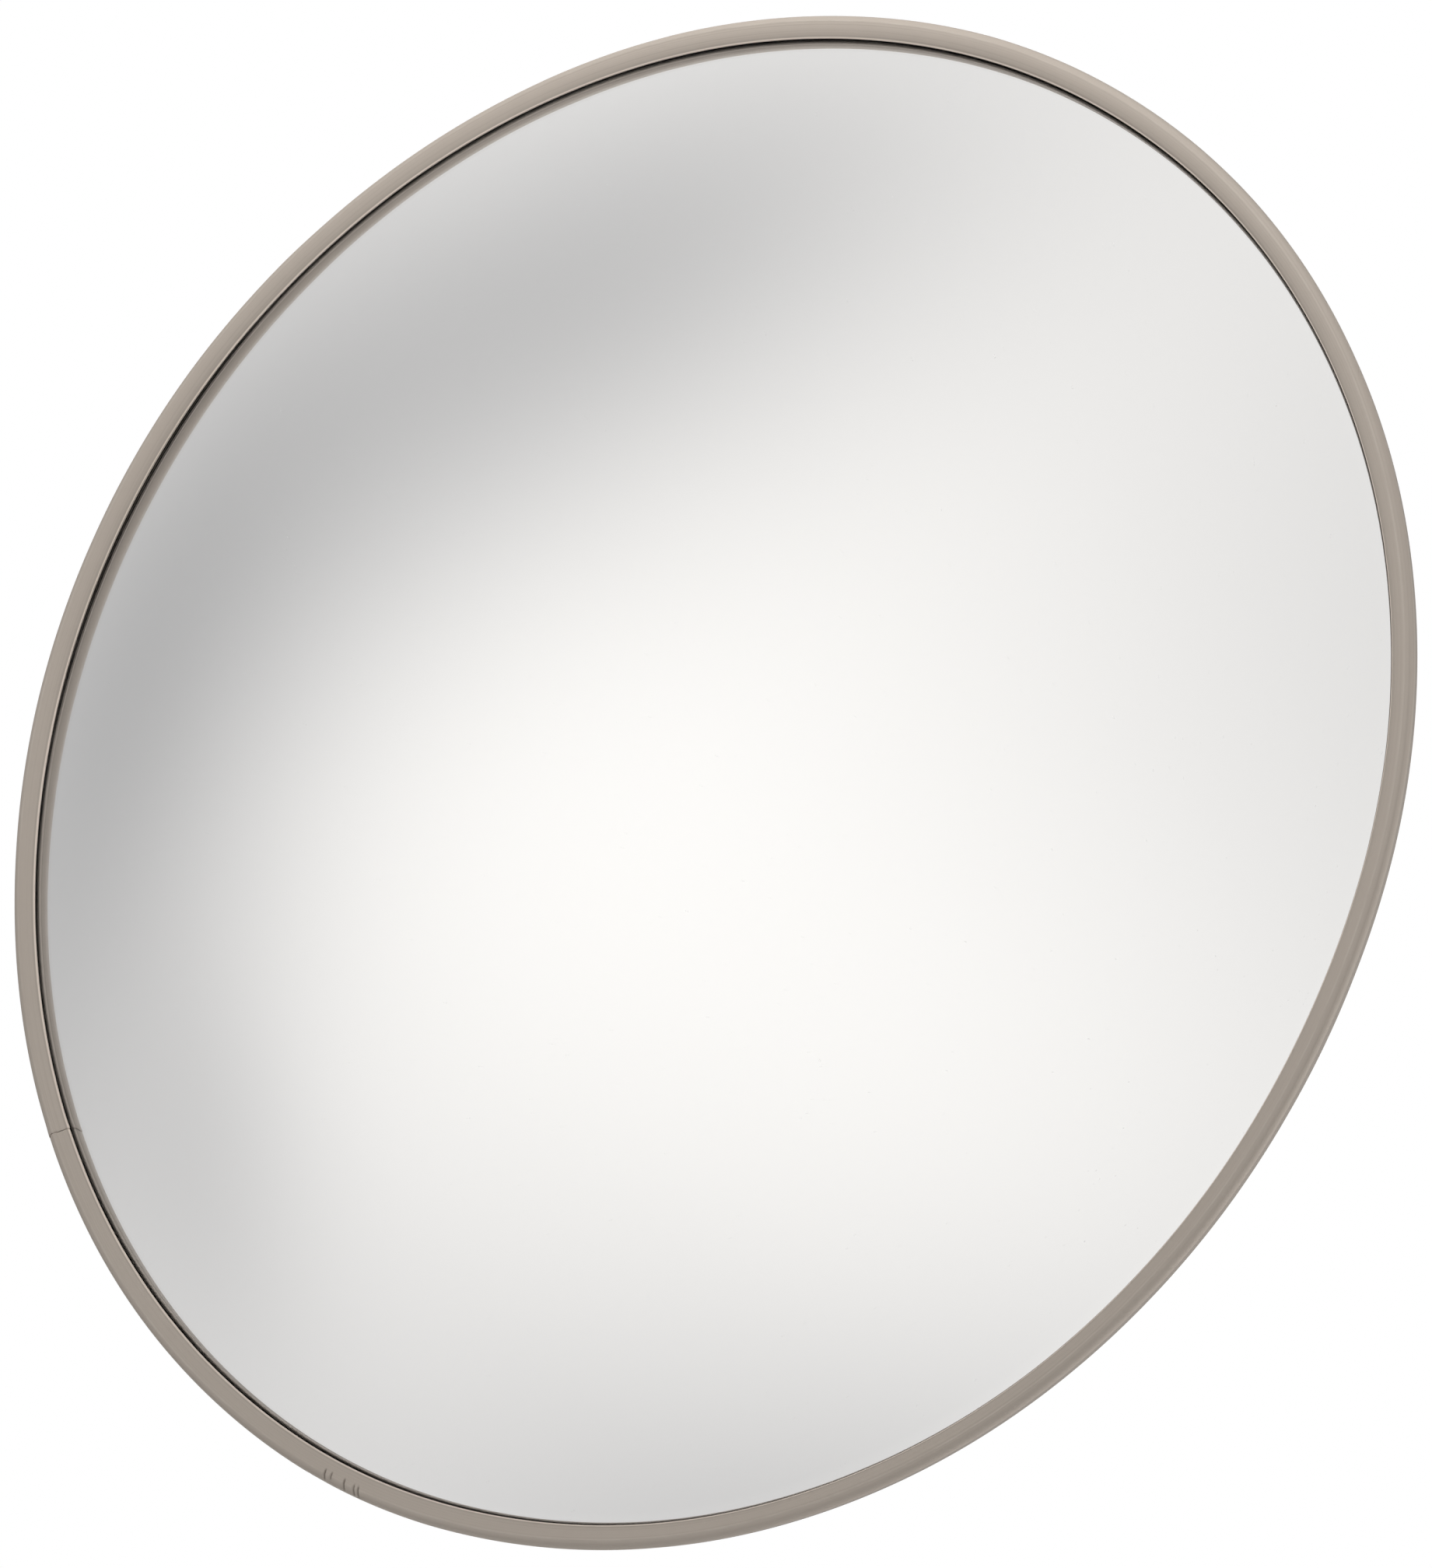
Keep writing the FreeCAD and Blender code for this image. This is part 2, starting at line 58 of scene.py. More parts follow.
TAU = 2 * math.pi
nodes = frame["nodes"]
joints = {joint["name"]: joint for joint in frame["joints"]}

# Places taken from the CAD model, mm
trim_lo, trim_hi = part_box("edge_trim")
TRIM_R = float(round((trim_hi[0] - trim_lo[0]) / 2 / MM))
CREST_Y = round(trim_lo[1] / MM, 1)
PAN_Y = joints["pan"]["pos_m"][1] / MM
TILT_Y = joints["tilt"]["pos_m"][1] / MM
bracket_lo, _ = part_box("head_bracket")
screws_lo, screws_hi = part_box("bracket_screws")

# Mirror sheet, mm: a spherical dome with a flat flange round it
SHEET_R = 457.0
SHEET_T = 2.2
DOME_R = 900.0                  # radius of the sphere
BASE_R = 446.8                  # where the sphere would meet the flange
FLANGE_T = 6.5                  # depth of the flange's front
CENTRE_T = FLANGE_T + math.sqrt(DOME_R ** 2 - BASE_R ** 2)


# ------------------------------------------------------------------ mesh helpers
def new_object(name, verts, faces, uv=None):
    """Smooth-shaded object. verts in mm; uv is one (u, v) in metres per vertex."""
    mesh = bpy.data.meshes.new(name)
    points = np.asarray(verts, np.float64) * MM
    mesh.from_pydata([tuple(p) for p in points], [], [tuple(int(i) for i in f) for f in faces])
    mesh.validate()
    mesh.polygons.foreach_set("use_smooth", [True] * len(mesh.polygons))
    if uv is not None:
        layer = mesh.uv_layers.new(name="along")
        index = np.zeros(len(mesh.loops), np.int32)
        mesh.loops.foreach_get("vertex_index", index)
        layer.data.foreach_set("uv", np.asarray(uv, np.float32)[index].ravel())
    mesh.update()
    return linked(name, mesh)


def linked(name, data):
    obj = bpy.data.objects.new(name, data)
    bpy.context.scene.collection.objects.link(obj)
    return obj


def face_outwards(obj, sharp_deg=None):
    """Turns all faces outwards, and ends smooth shading at edges sharper than sharp_deg."""
    bm = bmesh.new()
    bm.from_mesh(obj.data)
    bmesh.ops.recalc_face_normals(bm, faces=bm.faces)
    if sharp_deg is not None:
        limit = math.radians(sharp_deg)
        for face in bm.faces:
            face.smooth = True
        for edge in bm.edges:
            edge.smooth = not (len(edge.link_faces) == 2 and edge.calc_face_angle(0.0) > limit)
    bm.to_mesh(obj.data)
    bm.free()


def grid_faces(rows, cols, close_rows=False):
    """Quads over rows of points. Each row is a closed loop."""
    i, j = np.meshgrid(np.arange(rows if close_rows else rows - 1), np.arange(cols),
                       indexing="ij")
    i2, j2 = (i + 1) % rows, (j + 1) % cols
    quads = np.stack([i * cols + j, i * cols + j2, i2 * cols + j2, i2 * cols + j], -1)
    return [tuple(quad) for quad in quads.reshape(-1, 4)]


def capped_faces(rows, cols, flip_caps=False):
    """grid_faces with one flat face over the first row and one over the last."""
    last = (rows - 1) * cols
    caps = [tuple(range(cols)), tuple(last + j for j in reversed(range(cols)))]
    if flip_caps:
        caps = [cap[::-1] for cap in caps]
    return grid_faces(rows, cols) + caps


def arc_points(start, middle, end, count):
    """count points from start to end, end left out, on the circle through all three."""
    (ax, ay), (bx, by), (cx, cy) = start, middle, end
    a_sq, b_sq, c_sq = ax * ax + ay * ay, bx * bx + by * by, cx * cx + cy * cy
    div = 2 * (ax * (by - cy) + bx * (cy - ay) + cx * (ay - by))
    x0 = (a_sq * (by - cy) + b_sq * (cy - ay) + c_sq * (ay - by)) / div
    y0 = (a_sq * (cx - bx) + b_sq * (ax - cx) + c_sq * (bx - ax)) / div
    radius = math.hypot(ax - x0, ay - y0)
    first, mid, last = (math.atan2(y - y0, x - x0) for x, y in (start, middle, end))
    anticlockwise = ((mid - first) % TAU) < ((last - first) % TAU)
    sweep = (last - first) % TAU if anticlockwise else -((first - last) % TAU)
    return [(x0 + radius * math.cos(first + sweep * s), y0 + radius * math.sin(first + sweep * s))
            for s in np.linspace(0, 1, count, endpoint=False)]


def line_points(start, end, count):
    """count points from start to end, end left out."""
    return [(start[0] + (end[0] - start[0]) * s, start[1] + (end[1] - start[1]) * s)
            for s in np.linspace(0, 1, count, endpoint=False)]


def circle_angles(count):
    return np.linspace(0, TAU, count, endpoint=False)


def revolve(profile, segments, name):
    """Solid of revolution about Y from a profile of (r, y) that starts and ends on the axis."""
    profile = np.array(profile, float)
    angle = circle_angles(segments)
    rings = profile[1:-1]
    verts = np.stack([
        np.outer(rings[:, 0], np.cos(angle)),
        np.repeat(rings[:, 1:2], segments, 1),
        np.outer(rings[:, 0], np.sin(angle)),
    ], -1).reshape(-1, 3)
    faces = grid_faces(len(rings), segments)
    pole = len(verts)
    verts = np.vstack([verts, [0, profile[0, 1], 0], [0, profile[-1, 1], 0]])
    last = (len(rings) - 1) * segments
    faces += [(pole, (j + 1) % segments, j) for j in range(segments)]
    faces += [(pole + 1, last + j, last + (j + 1) % segments) for j in range(segments)]
    return new_object(name, verts, faces)


def register(obj, body, node=None):
    if node is not None:
        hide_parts(node)
    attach(obj, body)


# ------------------------------------------------------------------ material helpers
class Shader:
    """Adds nodes to the emptied node tree of a material or a world."""

    def __init__(self, owner, output_kind="ShaderNodeOutputMaterial"):
        owner.use_nodes = True
        self.owner = owner
        self.tree = owner.node_tree
        self.tree.nodes.clear()
        self.output = self.tree.nodes.new(output_kind)

    def node(self, kind, inputs=None, **props):
        node = self.tree.nodes.new(kind)
        for key, value in props.items():
            setattr(node, key, value)
        for key, value in (inputs or {}).items():
            socket = node.inputs[key]
            if isinstance(value, bpy.types.NodeSocket):
                self.tree.links.new(value, socket)
            else:
                socket.default_value = value
        return node

    def calc(self, operation, first, second=None, clamp=False):
        inputs = {0: first} if second is None else {0: first, 1: second}
        return self.node("ShaderNodeMath", inputs, operation=operation, use_clamp=clamp).outputs[0]

    def mul(self, first, second):
        return self.calc("MULTIPLY", first, second)

    def dot(self, first, second):
        node = self.node("ShaderNodeVectorMath", {0: first, 1: second}, operation="DOT_PRODUCT")
        return node.outputs["Value"]

    def scaled_vector(self, vector, factor):
        inputs = {0: vector, "Scale": factor}
        return self.node("ShaderNodeVectorMath", inputs, operation="SCALE").outputs[0]

    def coord(self):
        return self.node("ShaderNodeTexCoord").outputs["Object"]

    def stretch(self, vector, scale):
        return self.node("ShaderNodeMapping", {"Vector": vector, "Scale": scale}).outputs[0]

    def noise(self, vector, scale=1.0, detail=3.0, rough=0.5, distortion=0.0):
        return self.node("ShaderNodeTexNoise", {
            "Vector": vector, "Scale": scale, "Detail": detail, "Roughness": rough,
            "Distortion": distortion}).outputs["Fac"]

    def ramp(self, fac, *stops):
        """Stops are (position, grey level)."""
        node = self.node("ShaderNodeValToRGB", {"Fac": fac})
        elements = node.color_ramp.elements
        while len(elements) < len(stops):
            elements.new(0.5)
        for element, (position, grey) in zip(elements, stops):
            element.position = position
            element.color = (grey, grey, grey, 1)
        return node.outputs["Color"]

    def fade(self, fac, zero, one):
        """Ramp between black where fac is zero's value and white where it is one's."""
        return self.ramp(fac, *sorted([(zero, 0.0), (one, 1.0)]))

    def mix(self, fac, low, high):
        low, high = ((*c, 1) if isinstance(c, tuple) else c for c in (low, high))
        return self.node("ShaderNodeMix", {0: fac, 6: low, 7: high},
                         data_type="RGBA", clamp_factor=True).outputs[2]

    def tint(self, base, mask, amount, colour):
        """base, moved towards colour by amount where mask is 1."""
        return self.mix(self.mul(mask, amount), base, colour)

    def bump(self, height, strength, distance, normal=None):
        inputs = {"Height": height, "Strength": strength, "Distance": distance}
        if normal is not None:
            inputs["Normal"] = normal
        return self.node("ShaderNodeBump", inputs).outputs[0]

    def bevel(self, radius):
        return self.node("ShaderNodeBevel", {"Radius": radius}, samples=6).outputs[0]

    def edge_mask(self, bevel):
        """0 on flats, towards 1 on edges."""
        normal = self.node("ShaderNodeNewGeometry").outputs["Normal"]
        return self.calc("SUBTRACT", 1.0, self.dot(bevel, normal), clamp=True)

    def background(self, colour, strength=1.0):
        inputs = {"Color": colour, "Strength": strength}
        return self.node("ShaderNodeBackground", inputs).outputs[0]

    def finish(self, **inputs):
        """Ends a material in a Principled BSDF; underscores stand for spaces in input names."""
        inputs = {key.replace("_", " "): value for key, value in inputs.items()}
        shader = self.node("ShaderNodeBsdfPrincipled", inputs)
        self.tree.links.new(shader.outputs[0], self.output.inputs[0])
        return self.owner


def new_material(name):
    return Shader(bpy.data.materials.new(name))


def make_acrylic():
    """The clear front of the mirror sheet, with a little dust and hairline wipe haze."""
    mat = new_material("mirror_acrylic_face")
    coord = mat.coord()
    waves = mat.noise(coord, scale=5.0, detail=2.0, rough=0.4)
    normal = mat.bump(waves, strength=0.10, distance=0.0006)
    specks = mat.ramp(mat.noise(coord, scale=900.0, detail=2.0, rough=0.6),
                      (0.0, 0.0), (0.745, 0.0), (0.77, 1.0))
    patches = mat.fade(mat.noise(coord, scale=7.0, rough=0.55), zero=0.35, one=0.75)
    wipes = mat.noise(mat.stretch(coord, scale=(60.0, 60.0, 1400.0)),
                      detail=2.0, rough=0.7, distortion=0.6)
    haze = mat.mul(patches, mat.fade(wipes, zero=0.45, one=0.8))
    speck_opacity, haze_roughness = 0.30, 0.010
    clear = mat.calc("SUBTRACT", 1.0, mat.mul(specks, speck_opacity))
    base = mat.tint((0.999, 0.998, 0.997), specks, amount=0.4, colour=(0.80, 0.79, 0.77))
    return mat.finish(Base_Color=base, Metallic=0.0, Roughness=mat.mul(haze, haze_roughness),
                      Normal=normal, IOR=1.49, Transmission_Weight=clear, Specular_IOR_Level=0.5)


def make_silver():
    """The silvered back of the sheet, seen through the acrylic."""
    mat = new_material("mirror_silver_back")
    tone = mat.noise(mat.coord(), scale=3.0, detail=2.0)
    base = mat.mix(tone, low=(0.950, 0.949, 0.947), high=(0.944, 0.942, 0.938))
    return mat.finish(Base_Color=base, Metallic=1.0, Roughness=0.006)


def make_vinyl(lip_v, crest_v):
    """Taupe vinyl. lip_v and crest_v place the lip and the crest across the UV map, in metres."""
    mat = new_material("vinyl_taupe")
    uv = mat.node("ShaderNodeUVMap", uv_map="along").outputs[0]
    coord = mat.coord()
    across = mat.node("ShaderNodeSeparateXYZ", {0: uv}).outputs[1]
    broad = mat.noise(coord, scale=6.0, detail=2.0)
    mottled = mat.noise(coord, scale=70.0)
    # die lines: long streaks along the extrusion, about a millimetre apart
    streak = mat.noise(mat.stretch(uv, scale=(2.2, 900.0, 1.0)), detail=2.0, rough=0.55)
    fine = mat.noise(mat.stretch(uv, scale=(9.0, 2400.0, 1.0)), detail=2.0)
    base = mat.mix(broad, low=(0.480, 0.420, 0.366), high=(0.451, 0.393, 0.342))
    base = mat.tint(base, mat.fade(streak, zero=0.42, one=0.66),
                    amount=0.26, colour=(0.50, 0.455, 0.40))
    base = mat.tint(base, mat.fade(streak, zero=0.46, one=0.30),
                    amount=0.22, colour=(0.30, 0.268, 0.228))
    base = mat.tint(base, mottled, amount=0.10, colour=(0.33, 0.296, 0.252))
    # rubbed line along the crest, broken up along its length
    from_crest = mat.calc("ABSOLUTE", mat.calc("SUBTRACT", across, crest_v))
    on_line = mat.ramp(mat.mul(from_crest, MM_PER_M), (0.0, 1.0), (0.30, 0.8), (0.75, 0.0))
    broken = mat.ramp(mat.noise(mat.stretch(uv, scale=(38.0, 300.0, 1.0)), detail=4.0, rough=0.7),
                      (0.38, 0.05), (0.62, 1.0))
    base = mat.tint(base, mat.mul(on_line, broken), amount=0.30, colour=(0.62, 0.57, 0.51))
    # the lip's edge is painted paler as a painted highlight, with a faint dark line just outside
    # it; places from lip_v, mm
    lip_highlight_centre, line_offset, under_shade_start = 0.25, 1.3, 1.25
    lip = mat.mul(mat.calc("SUBTRACT", across, lip_v), MM_PER_M)
    from_lip_highlight = mat.calc("ABSOLUTE", mat.calc("SUBTRACT", lip, lip_highlight_centre))
    pale = mat.ramp(from_lip_highlight, (0.0, 1.0), (0.70, 0.9), (0.98, 0.0))
    # painted highlight: a pale line along the lip's edge
    base = mat.tint(base, pale, amount=0.85, colour=(0.83, 0.725, 0.635))
    from_line = mat.calc("ABSOLUTE", mat.calc("ADD", lip, line_offset))
    line = mat.ramp(from_line, (0.0, 1.0), (0.25, 0.8), (0.55, 0.0))
    base = mat.tint(base, line, amount=0.22, colour=(0.22, 0.19, 0.16))
    # painted shade under the lip
    under = mat.fade(mat.calc("SUBTRACT", lip, under_shade_start), zero=0.0, one=0.5)
    base = mat.tint(base, under, amount=0.42, colour=(0.13, 0.115, 0.10))
    # painted shade in the crease grooves
    crease_shade = mat.node("ShaderNodeAttribute", attribute_name="crease_shade").outputs["Fac"]
    base = mat.tint(base, crease_shade, amount=0.75, colour=(0.10, 0.082, 0.068))
    # seen in the mirror, the slope down to the mirror is in its own shade
    slope_width, per_slope_mm = 9.6, 0.104      # where the slope starts, mm, and 1 / its width
    seen = mat.node("ShaderNodeLightPath").outputs["Is Camera Ray"]
    slope = mat.ramp(mat.mul(mat.calc("ADD", lip, slope_width), per_slope_mm),
                     (0.0, 0.16), (0.55, 0.32), (1.0, 0.46))
    shade = mat.mul(slope, mat.calc("SUBTRACT", 1.0, seen))
    base = mat.mix(shade, low=base, high=(0.085, 0.082, 0.079))
    # a few dust specks stuck to the vinyl
    cells = mat.node("ShaderNodeTexVoronoi", {"Vector": coord, "Scale": 46.0, "Randomness": 1.0})
    few = mat.fade(mat.noise(coord, scale=21.0, detail=1.0), zero=0.62, one=0.66)
    specks = mat.ramp(cells.outputs["Distance"], (0.0, 1.0), (0.016, 0.9), (0.028, 0.0))
    base = mat.tint(base, mat.mul(specks, few), amount=0.6, colour=(0.80, 0.78, 0.75))
    least_rough, streak_rough, fine_height = 0.50, 0.14, 0.25
    rough = mat.calc("ADD", least_rough, mat.mul(streak, streak_rough))
    height = mat.calc("ADD", streak, mat.mul(fine, fine_height))
    normal = mat.bump(height, strength=0.22, distance=0.00010)
    return mat.finish(Base_Color=base, Roughness=rough, Normal=normal, Specular_IOR_Level=0.36)


def make_hardboard():
    mat = new_material("hardboard")
    coord = mat.coord()
    fibre = mat.noise(mat.stretch(coord, scale=(1.0, 1.0, 1.0)),
                      scale=420.0, detail=5.0, rough=0.7, distortion=1.2)
    broad = mat.noise(coord, scale=9.0, detail=4.0, rough=0.6)
    base = mat.mix(broad, low=(0.142, 0.086, 0.050), high=(0.206, 0.130, 0.078))
    base = mat.tint(base, mat.fade(fibre, zero=0.35, one=0.65),
                    amount=0.5, colour=(0.255, 0.170, 0.106))
    dark = mat.fade(mat.noise(coord, scale=95.0, rough=0.7), zero=0.62, one=0.74)
    base = mat.tint(base, dark, amount=0.45, colour=(0.13, 0.078, 0.045))

    # the wire screen that the board was pressed on leaves a fine woven print
    def wires(direction):
        inputs = {"Vector": coord, "Scale": 165.0, "Distortion": 0.25, "Detail": 1.0,
                  "Detail Scale": 3.0}
        return mat.node("ShaderNodeTexWave", inputs, wave_type="BANDS",
                        bands_direction=direction).outputs["Fac"]

    screen = mat.mul(wires("X"), wires("Z"))
    base = mat.tint(base, screen, amount=0.22, colour=(0.36, 0.245, 0.155))
    normal = mat.bump(screen, strength=0.45, distance=0.00025,
                      normal=mat.bump(fibre, strength=0.35, distance=0.0002))
    return mat.finish(Base_Color=base, Roughness=0.68, Normal=normal, Specular_IOR_Level=0.3)


def make_coated():
    """Grey powder coat, worn through in chips along its edges."""
    mat = new_material("powder_coat_grey")
    coord = mat.coord()
    peel = mat.noise(coord, scale=520.0, rough=0.55)
    tone = mat.noise(coord, scale=14.0)
    bevel = mat.bevel(radius=0.0011)
    edge = mat.edge_mask(bevel)
    chips = mat.fade(mat.noise(coord, scale=190.0, detail=5.0, rough=0.7), zero=0.47, one=0.54)
    wear = mat.mul(mat.fade(edge, zero=0.02, one=0.08), chips)
    scuff = mat.noise(mat.stretch(coord, scale=(90.0, 420.0, 90.0)), detail=4.0, rough=0.65)
    scuff = mat.fade(scuff, zero=0.60, one=0.72)
    dust = mat.fade(mat.noise(coord, scale=60.0, detail=5.0, rough=0.65), zero=0.45, one=0.8)
    base = mat.mix(tone, low=(0.315, 0.324, 0.331), high=(0.362, 0.370, 0.376))
    base = mat.tint(base, dust, amount=0.17, colour=(0.52, 0.505, 0.475))
    base = mat.tint(base, scuff, amount=0.26, colour=(0.21, 0.208, 0.203))
    base = mat.mix(wear, low=base, high=(0.56, 0.55, 0.53))
    rough = mat.mix(wear, low=mat.mix(peel, low=(0.36,) * 3, high=(0.46,) * 3), high=(0.30,) * 3)
    normal = mat.bump(peel, strength=0.30, distance=0.00012, normal=bevel)
    bare_metal = 0.85
    return mat.finish(Base_Color=base, Metallic=mat.mul(wear, bare_metal), Roughness=rough,
                      Normal=normal, Specular_IOR_Level=0.5, Coat_Weight=0.12, Coat_Roughness=0.2)


def make_zinc():
    """Clouded zinc plate, slightly yellow in patches and brighter along its edges."""
    mat = new_material("zinc_plate")
    coord = mat.coord()
    cloud = mat.noise(coord, scale=120.0, detail=4.0, rough=0.6)
    fine = mat.noise(coord, scale=1500.0, rough=0.6)
    bevel = mat.bevel(radius=0.0004)
    shine = mat.fade(mat.edge_mask(bevel), zero=0.03, one=0.2)
    warm = mat.fade(mat.noise(coord, scale=55.0), zero=0.35, one=0.7)
    base = mat.tint((0.70, 0.715, 0.73), warm, amount=0.35, colour=(0.76, 0.725, 0.62))
    base = mat.tint(base, cloud, amount=0.3, colour=(0.48, 0.49, 0.50))
    base = mat.tint(base, shine, amount=0.5, colour=(0.86, 0.86, 0.86))
    least_rough, cloud_rough = 0.23, 0.18
    rough = mat.calc("ADD", least_rough, mat.mul(cloud, cloud_rough))
    normal = mat.bump(fine, strength=0.14, distance=0.00008, normal=bevel)
    return mat.finish(Base_Color=base, Metallic=1.0, Roughness=rough, Normal=normal)


def make_mill_steel():
    """Bare steel with rolling lines along X and brown spots."""
    mat = new_material("mill_steel")
    coord = mat.coord()
    roll = mat.noise(mat.stretch(coord, scale=(20.0, 900.0, 900.0)), rough=0.7)
    spots = mat.fade(mat.noise(coord, scale=180.0, detail=4.0, rough=0.7), zero=0.55, one=0.75)
    base = mat.mix(roll, low=(0.40, 0.40, 0.41), high=(0.56, 0.56, 0.57))
    base = mat.tint(base, spots, amount=0.4, colour=(0.25, 0.20, 0.16))
    normal = mat.bump(roll, strength=0.2, distance=0.0001)
    return mat.finish(Base_Color=base, Metallic=1.0, Roughness=0.42, Normal=normal)


def make_nylon():
    mat = new_material("nylon_natural")
    coord = mat.coord()
    tone = mat.noise(coord, scale=90.0)
    bevel = mat.bevel(radius=0.0004)
    base = mat.mix(tone, low=(0.76, 0.74, 0.67), high=(0.83, 0.81, 0.75))
    grime = mat.fade(mat.noise(coord, scale=300.0, detail=4.0, rough=0.7), zero=0.58, one=0.78)
    base = mat.tint(base, grime, amount=0.25, colour=(0.45, 0.43, 0.38))
    normal = mat.bump(mat.noise(coord, scale=1400.0, detail=2.0),
                      strength=0.15, distance=0.0001, normal=bevel)
    return mat.finish(Base_Color=base, Roughness=0.42, Normal=normal, Subsurface_Weight=0.25,
                      Subsurface_Radius=(0.002, 0.0018, 0.0014), Subsurface_Scale=0.5)


# ------------------------------------------------------------------ edge trim: section
LIP_R, LIP_T = 446.0, 4.7       # innermost point of the front lip
LIP_HALF_T = 0.8
BACK_LIP_R = 447.0
ROLL_R = 4.6                    # quarter round at the outer front
CREST_R = TRIM_R - ROLL_R
WEB_R = SHEET_R + 0.1
BACK_IN_T, BACK_T = 11.35, 12.6     # inside and outside of the back leg
BACK_OUT_R = TRIM_R - 1.2
CORNER_R = 2.8                  # quarter round at the outer back
COS_45 = math.sqrt(0.5)


def trim_section():
    """Closed section of (r, t) points, and the name of the part that each belongs to."""
    lip_top = (LIP_R + 0.55, LIP_T - LIP_HALF_T)
    lip_bottom = (LIP_R + 0.60, LIP_T + LIP_HALF_T)
    face_middle = (0.5 * (CREST_R + lip_top[0]), 0.5 * lip_top[1] - 0.62)
    web_front, web_back = (WEB_R, FLANGE_T - 0.1), (WEB_R, BACK_IN_T)
    back_lip_in, back_lip_out = (BACK_LIP_R + 0.75, BACK_IN_T), (BACK_LIP_R + 0.75, BACK_T)
    back_lip_tip = (BACK_LIP_R, 0.5 * (BACK_T + BACK_IN_T))
    roll_middle = (CREST_R + ROLL_R * COS_45, ROLL_R - ROLL_R * COS_45)
    corner_cut = CORNER_R * (1 - COS_45)
    corner_start, corner_end = (BACK_OUT_R - CORNER_R, BACK_T), (BACK_OUT_R, BACK_T - CORNER_R)
    corner_middle = (BACK_OUT_R - corner_cut, BACK_T - corner_cut)
    outermost = (TRIM_R, ROLL_R)
    crest = (CREST_R, 0.0)
    parts = [
        ("roll", arc_points(outermost, roll_middle, crest, 22)),
        ("face", arc_points(crest, face_middle, lip_top, 30)),
        ("lip", arc_points(lip_top, (LIP_R, LIP_T), lip_bottom, 11)),
        ("under", line_points(lip_bottom, web_front, 4)),
        ("web", line_points(web_front, web_back, 3)),
        ("inside", line_points(web_back, back_lip_in, 3)),
        ("back_lip", arc_points(back_lip_in, back_lip_tip, back_lip_out, 5)),
        ("back", line_points(back_lip_out, corner_start, 10)),
        ("corner", arc_points(corner_start, corner_middle, corner_end, 10)),
        ("wall", line_points(corner_end, outermost, 10)),
    ]
    points, kinds = [], []
    for kind, part in parts:
        points += part
        kinds += [kind] * len(part)
    return np.array(points), kinds


section, kinds = trim_section()


def on_parts(*names):
    return np.array([kind in names for kind in kinds])


steps = np.linalg.norm(np.roll(section, -1, 0) - section, axis=1)
section_s = np.concatenate([[0], np.cumsum(steps)[:-1]])    # distance along the section, mm
CREST_S = section_s[kinds.index("face")]
LIP_S = section_s[kinds.index("lip")] + 0.30
# how far each part follows the outer deformation
SOFTNESS = {"roll": 1.0, "face": 1.0, "lip": 1.0, "under": 0.35, "web": 0.0, "inside": 0.0,
            "back_lip": 0.3, "back": 0.5, "corner": 1.0, "wall": 1.0}
soft = np.array([SOFTNESS[kind] for kind in kinds])[None, :]
# section normals, pointing out of the vinyl
tangent = np.roll(section, -1, 0) - np.roll(section, 1, 0)
tangent /= np.linalg.norm(tangent, axis=1)[:, None]
normal_r, normal_t = -tangent[:, 1][None, :], tangent[:, 0][None, :]


def die_height(s, kind):
    """Fine lines left by extrusion, and the slight raised line where roll meets face."""
    height = 0.0
    if kind in ("roll", "face", "wall", "corner"):
        height = 0.020 * math.sin(s * 5.1) + 0.014 * math.sin(s * 9.7 + 1.3)
    if kind in ("roll", "face"):
        height += 0.10 * math.exp(-(abs(s - CREST_S) / 0.45) ** 2)
    return height


# ------------------------------------------------------------------ edge trim: round the mirror
# Angles run from +X towards +Z.
SEAM_DEG = 202.0
SEAM = math.radians(SEAM_DEG)
SEAM_GAP = 0.18                 # mm between the two cut ends
CREASE = math.radians(242.65)   # centre of the creased stretch

# Out-of-roundness: (lobes round the trim, height in mm, phase)
ROUNDNESS_WAVES = (
    (2, 0.15, 1.04), (3, 1.01, -1.59), (4, 0.21, 1.98), (5, 0.44, -0.40),
    (7, 0.17, 0.87), (10, 0.11, 2.13), (14, 0.09, -2.84),
)
# Random bumps: count, what divides the width to give radians, then the ranges of width,
# height (mm), place along the section (mm) and spread along the section (mm)
RANDOM_BUMPS = (
    (60, 1.0, (0.006, 0.05), (-0.09, 0.11), (0.0, 20.0), (3.0, 8.0)),       # gentle lumps
    (46, TRIM_R, (0.6, 1.5), (-0.22, 0.12), (-2.0, 17.0), (0.4, 0.9)),      # nicks and pimples
)
# Creases slanting across the roll: (place round the trim from CREASE, mm; place along the
# section, mm; length, mm; slant, radians; depth, mm)
CREASES = (
    (-15.0, CREST_S - 0.6, 6.4, 0.30, 0.95),
    (-10.4, CREST_S + 0.4, 4.4, 0.28, 0.60),
    (0.2, CREST_S - 1.0, 7.2, 0.34, 1.00),
    (7.9, CREST_S - 1.4, 6.6, 0.34, 0.85),
    (11.3, CREST_S - 1.8, 7.4, 0.36, 1.05),
)


def trim_angles():
    """Angles once round from the seam, finer at the seam and at the creased stretch."""
    degrees = []
    turn = 0.0
    while turn < 360.0:
        degrees.append(turn)
        near_seam = min(turn, 360.0 - turn) < 1.2
        near_crease = 238.6 < (SEAM_DEG + turn) % 360.0 < 245.6
        turn += 0.045 if near_crease else 0.06 if near_seam else 0.2
    half_gap = math.degrees(SEAM_GAP / 2 / TRIM_R)
    degrees = half_gap + np.array(degrees + [360.0]) * (360.0 - 2 * half_gap) / 360.0
    return SEAM + np.radians(degrees)


def wander(angle):
    """Slow out-of-roundness, about a millimetre, mostly three-lobed."""
    total = 0.0
    for lobes, height, phase in ROUNDNESS_WAVES:
        total = total + height * np.cos(lobes * angle + phase)
    return total


def bell(distance, width):
    return np.exp(-(distance / width) ** 2)


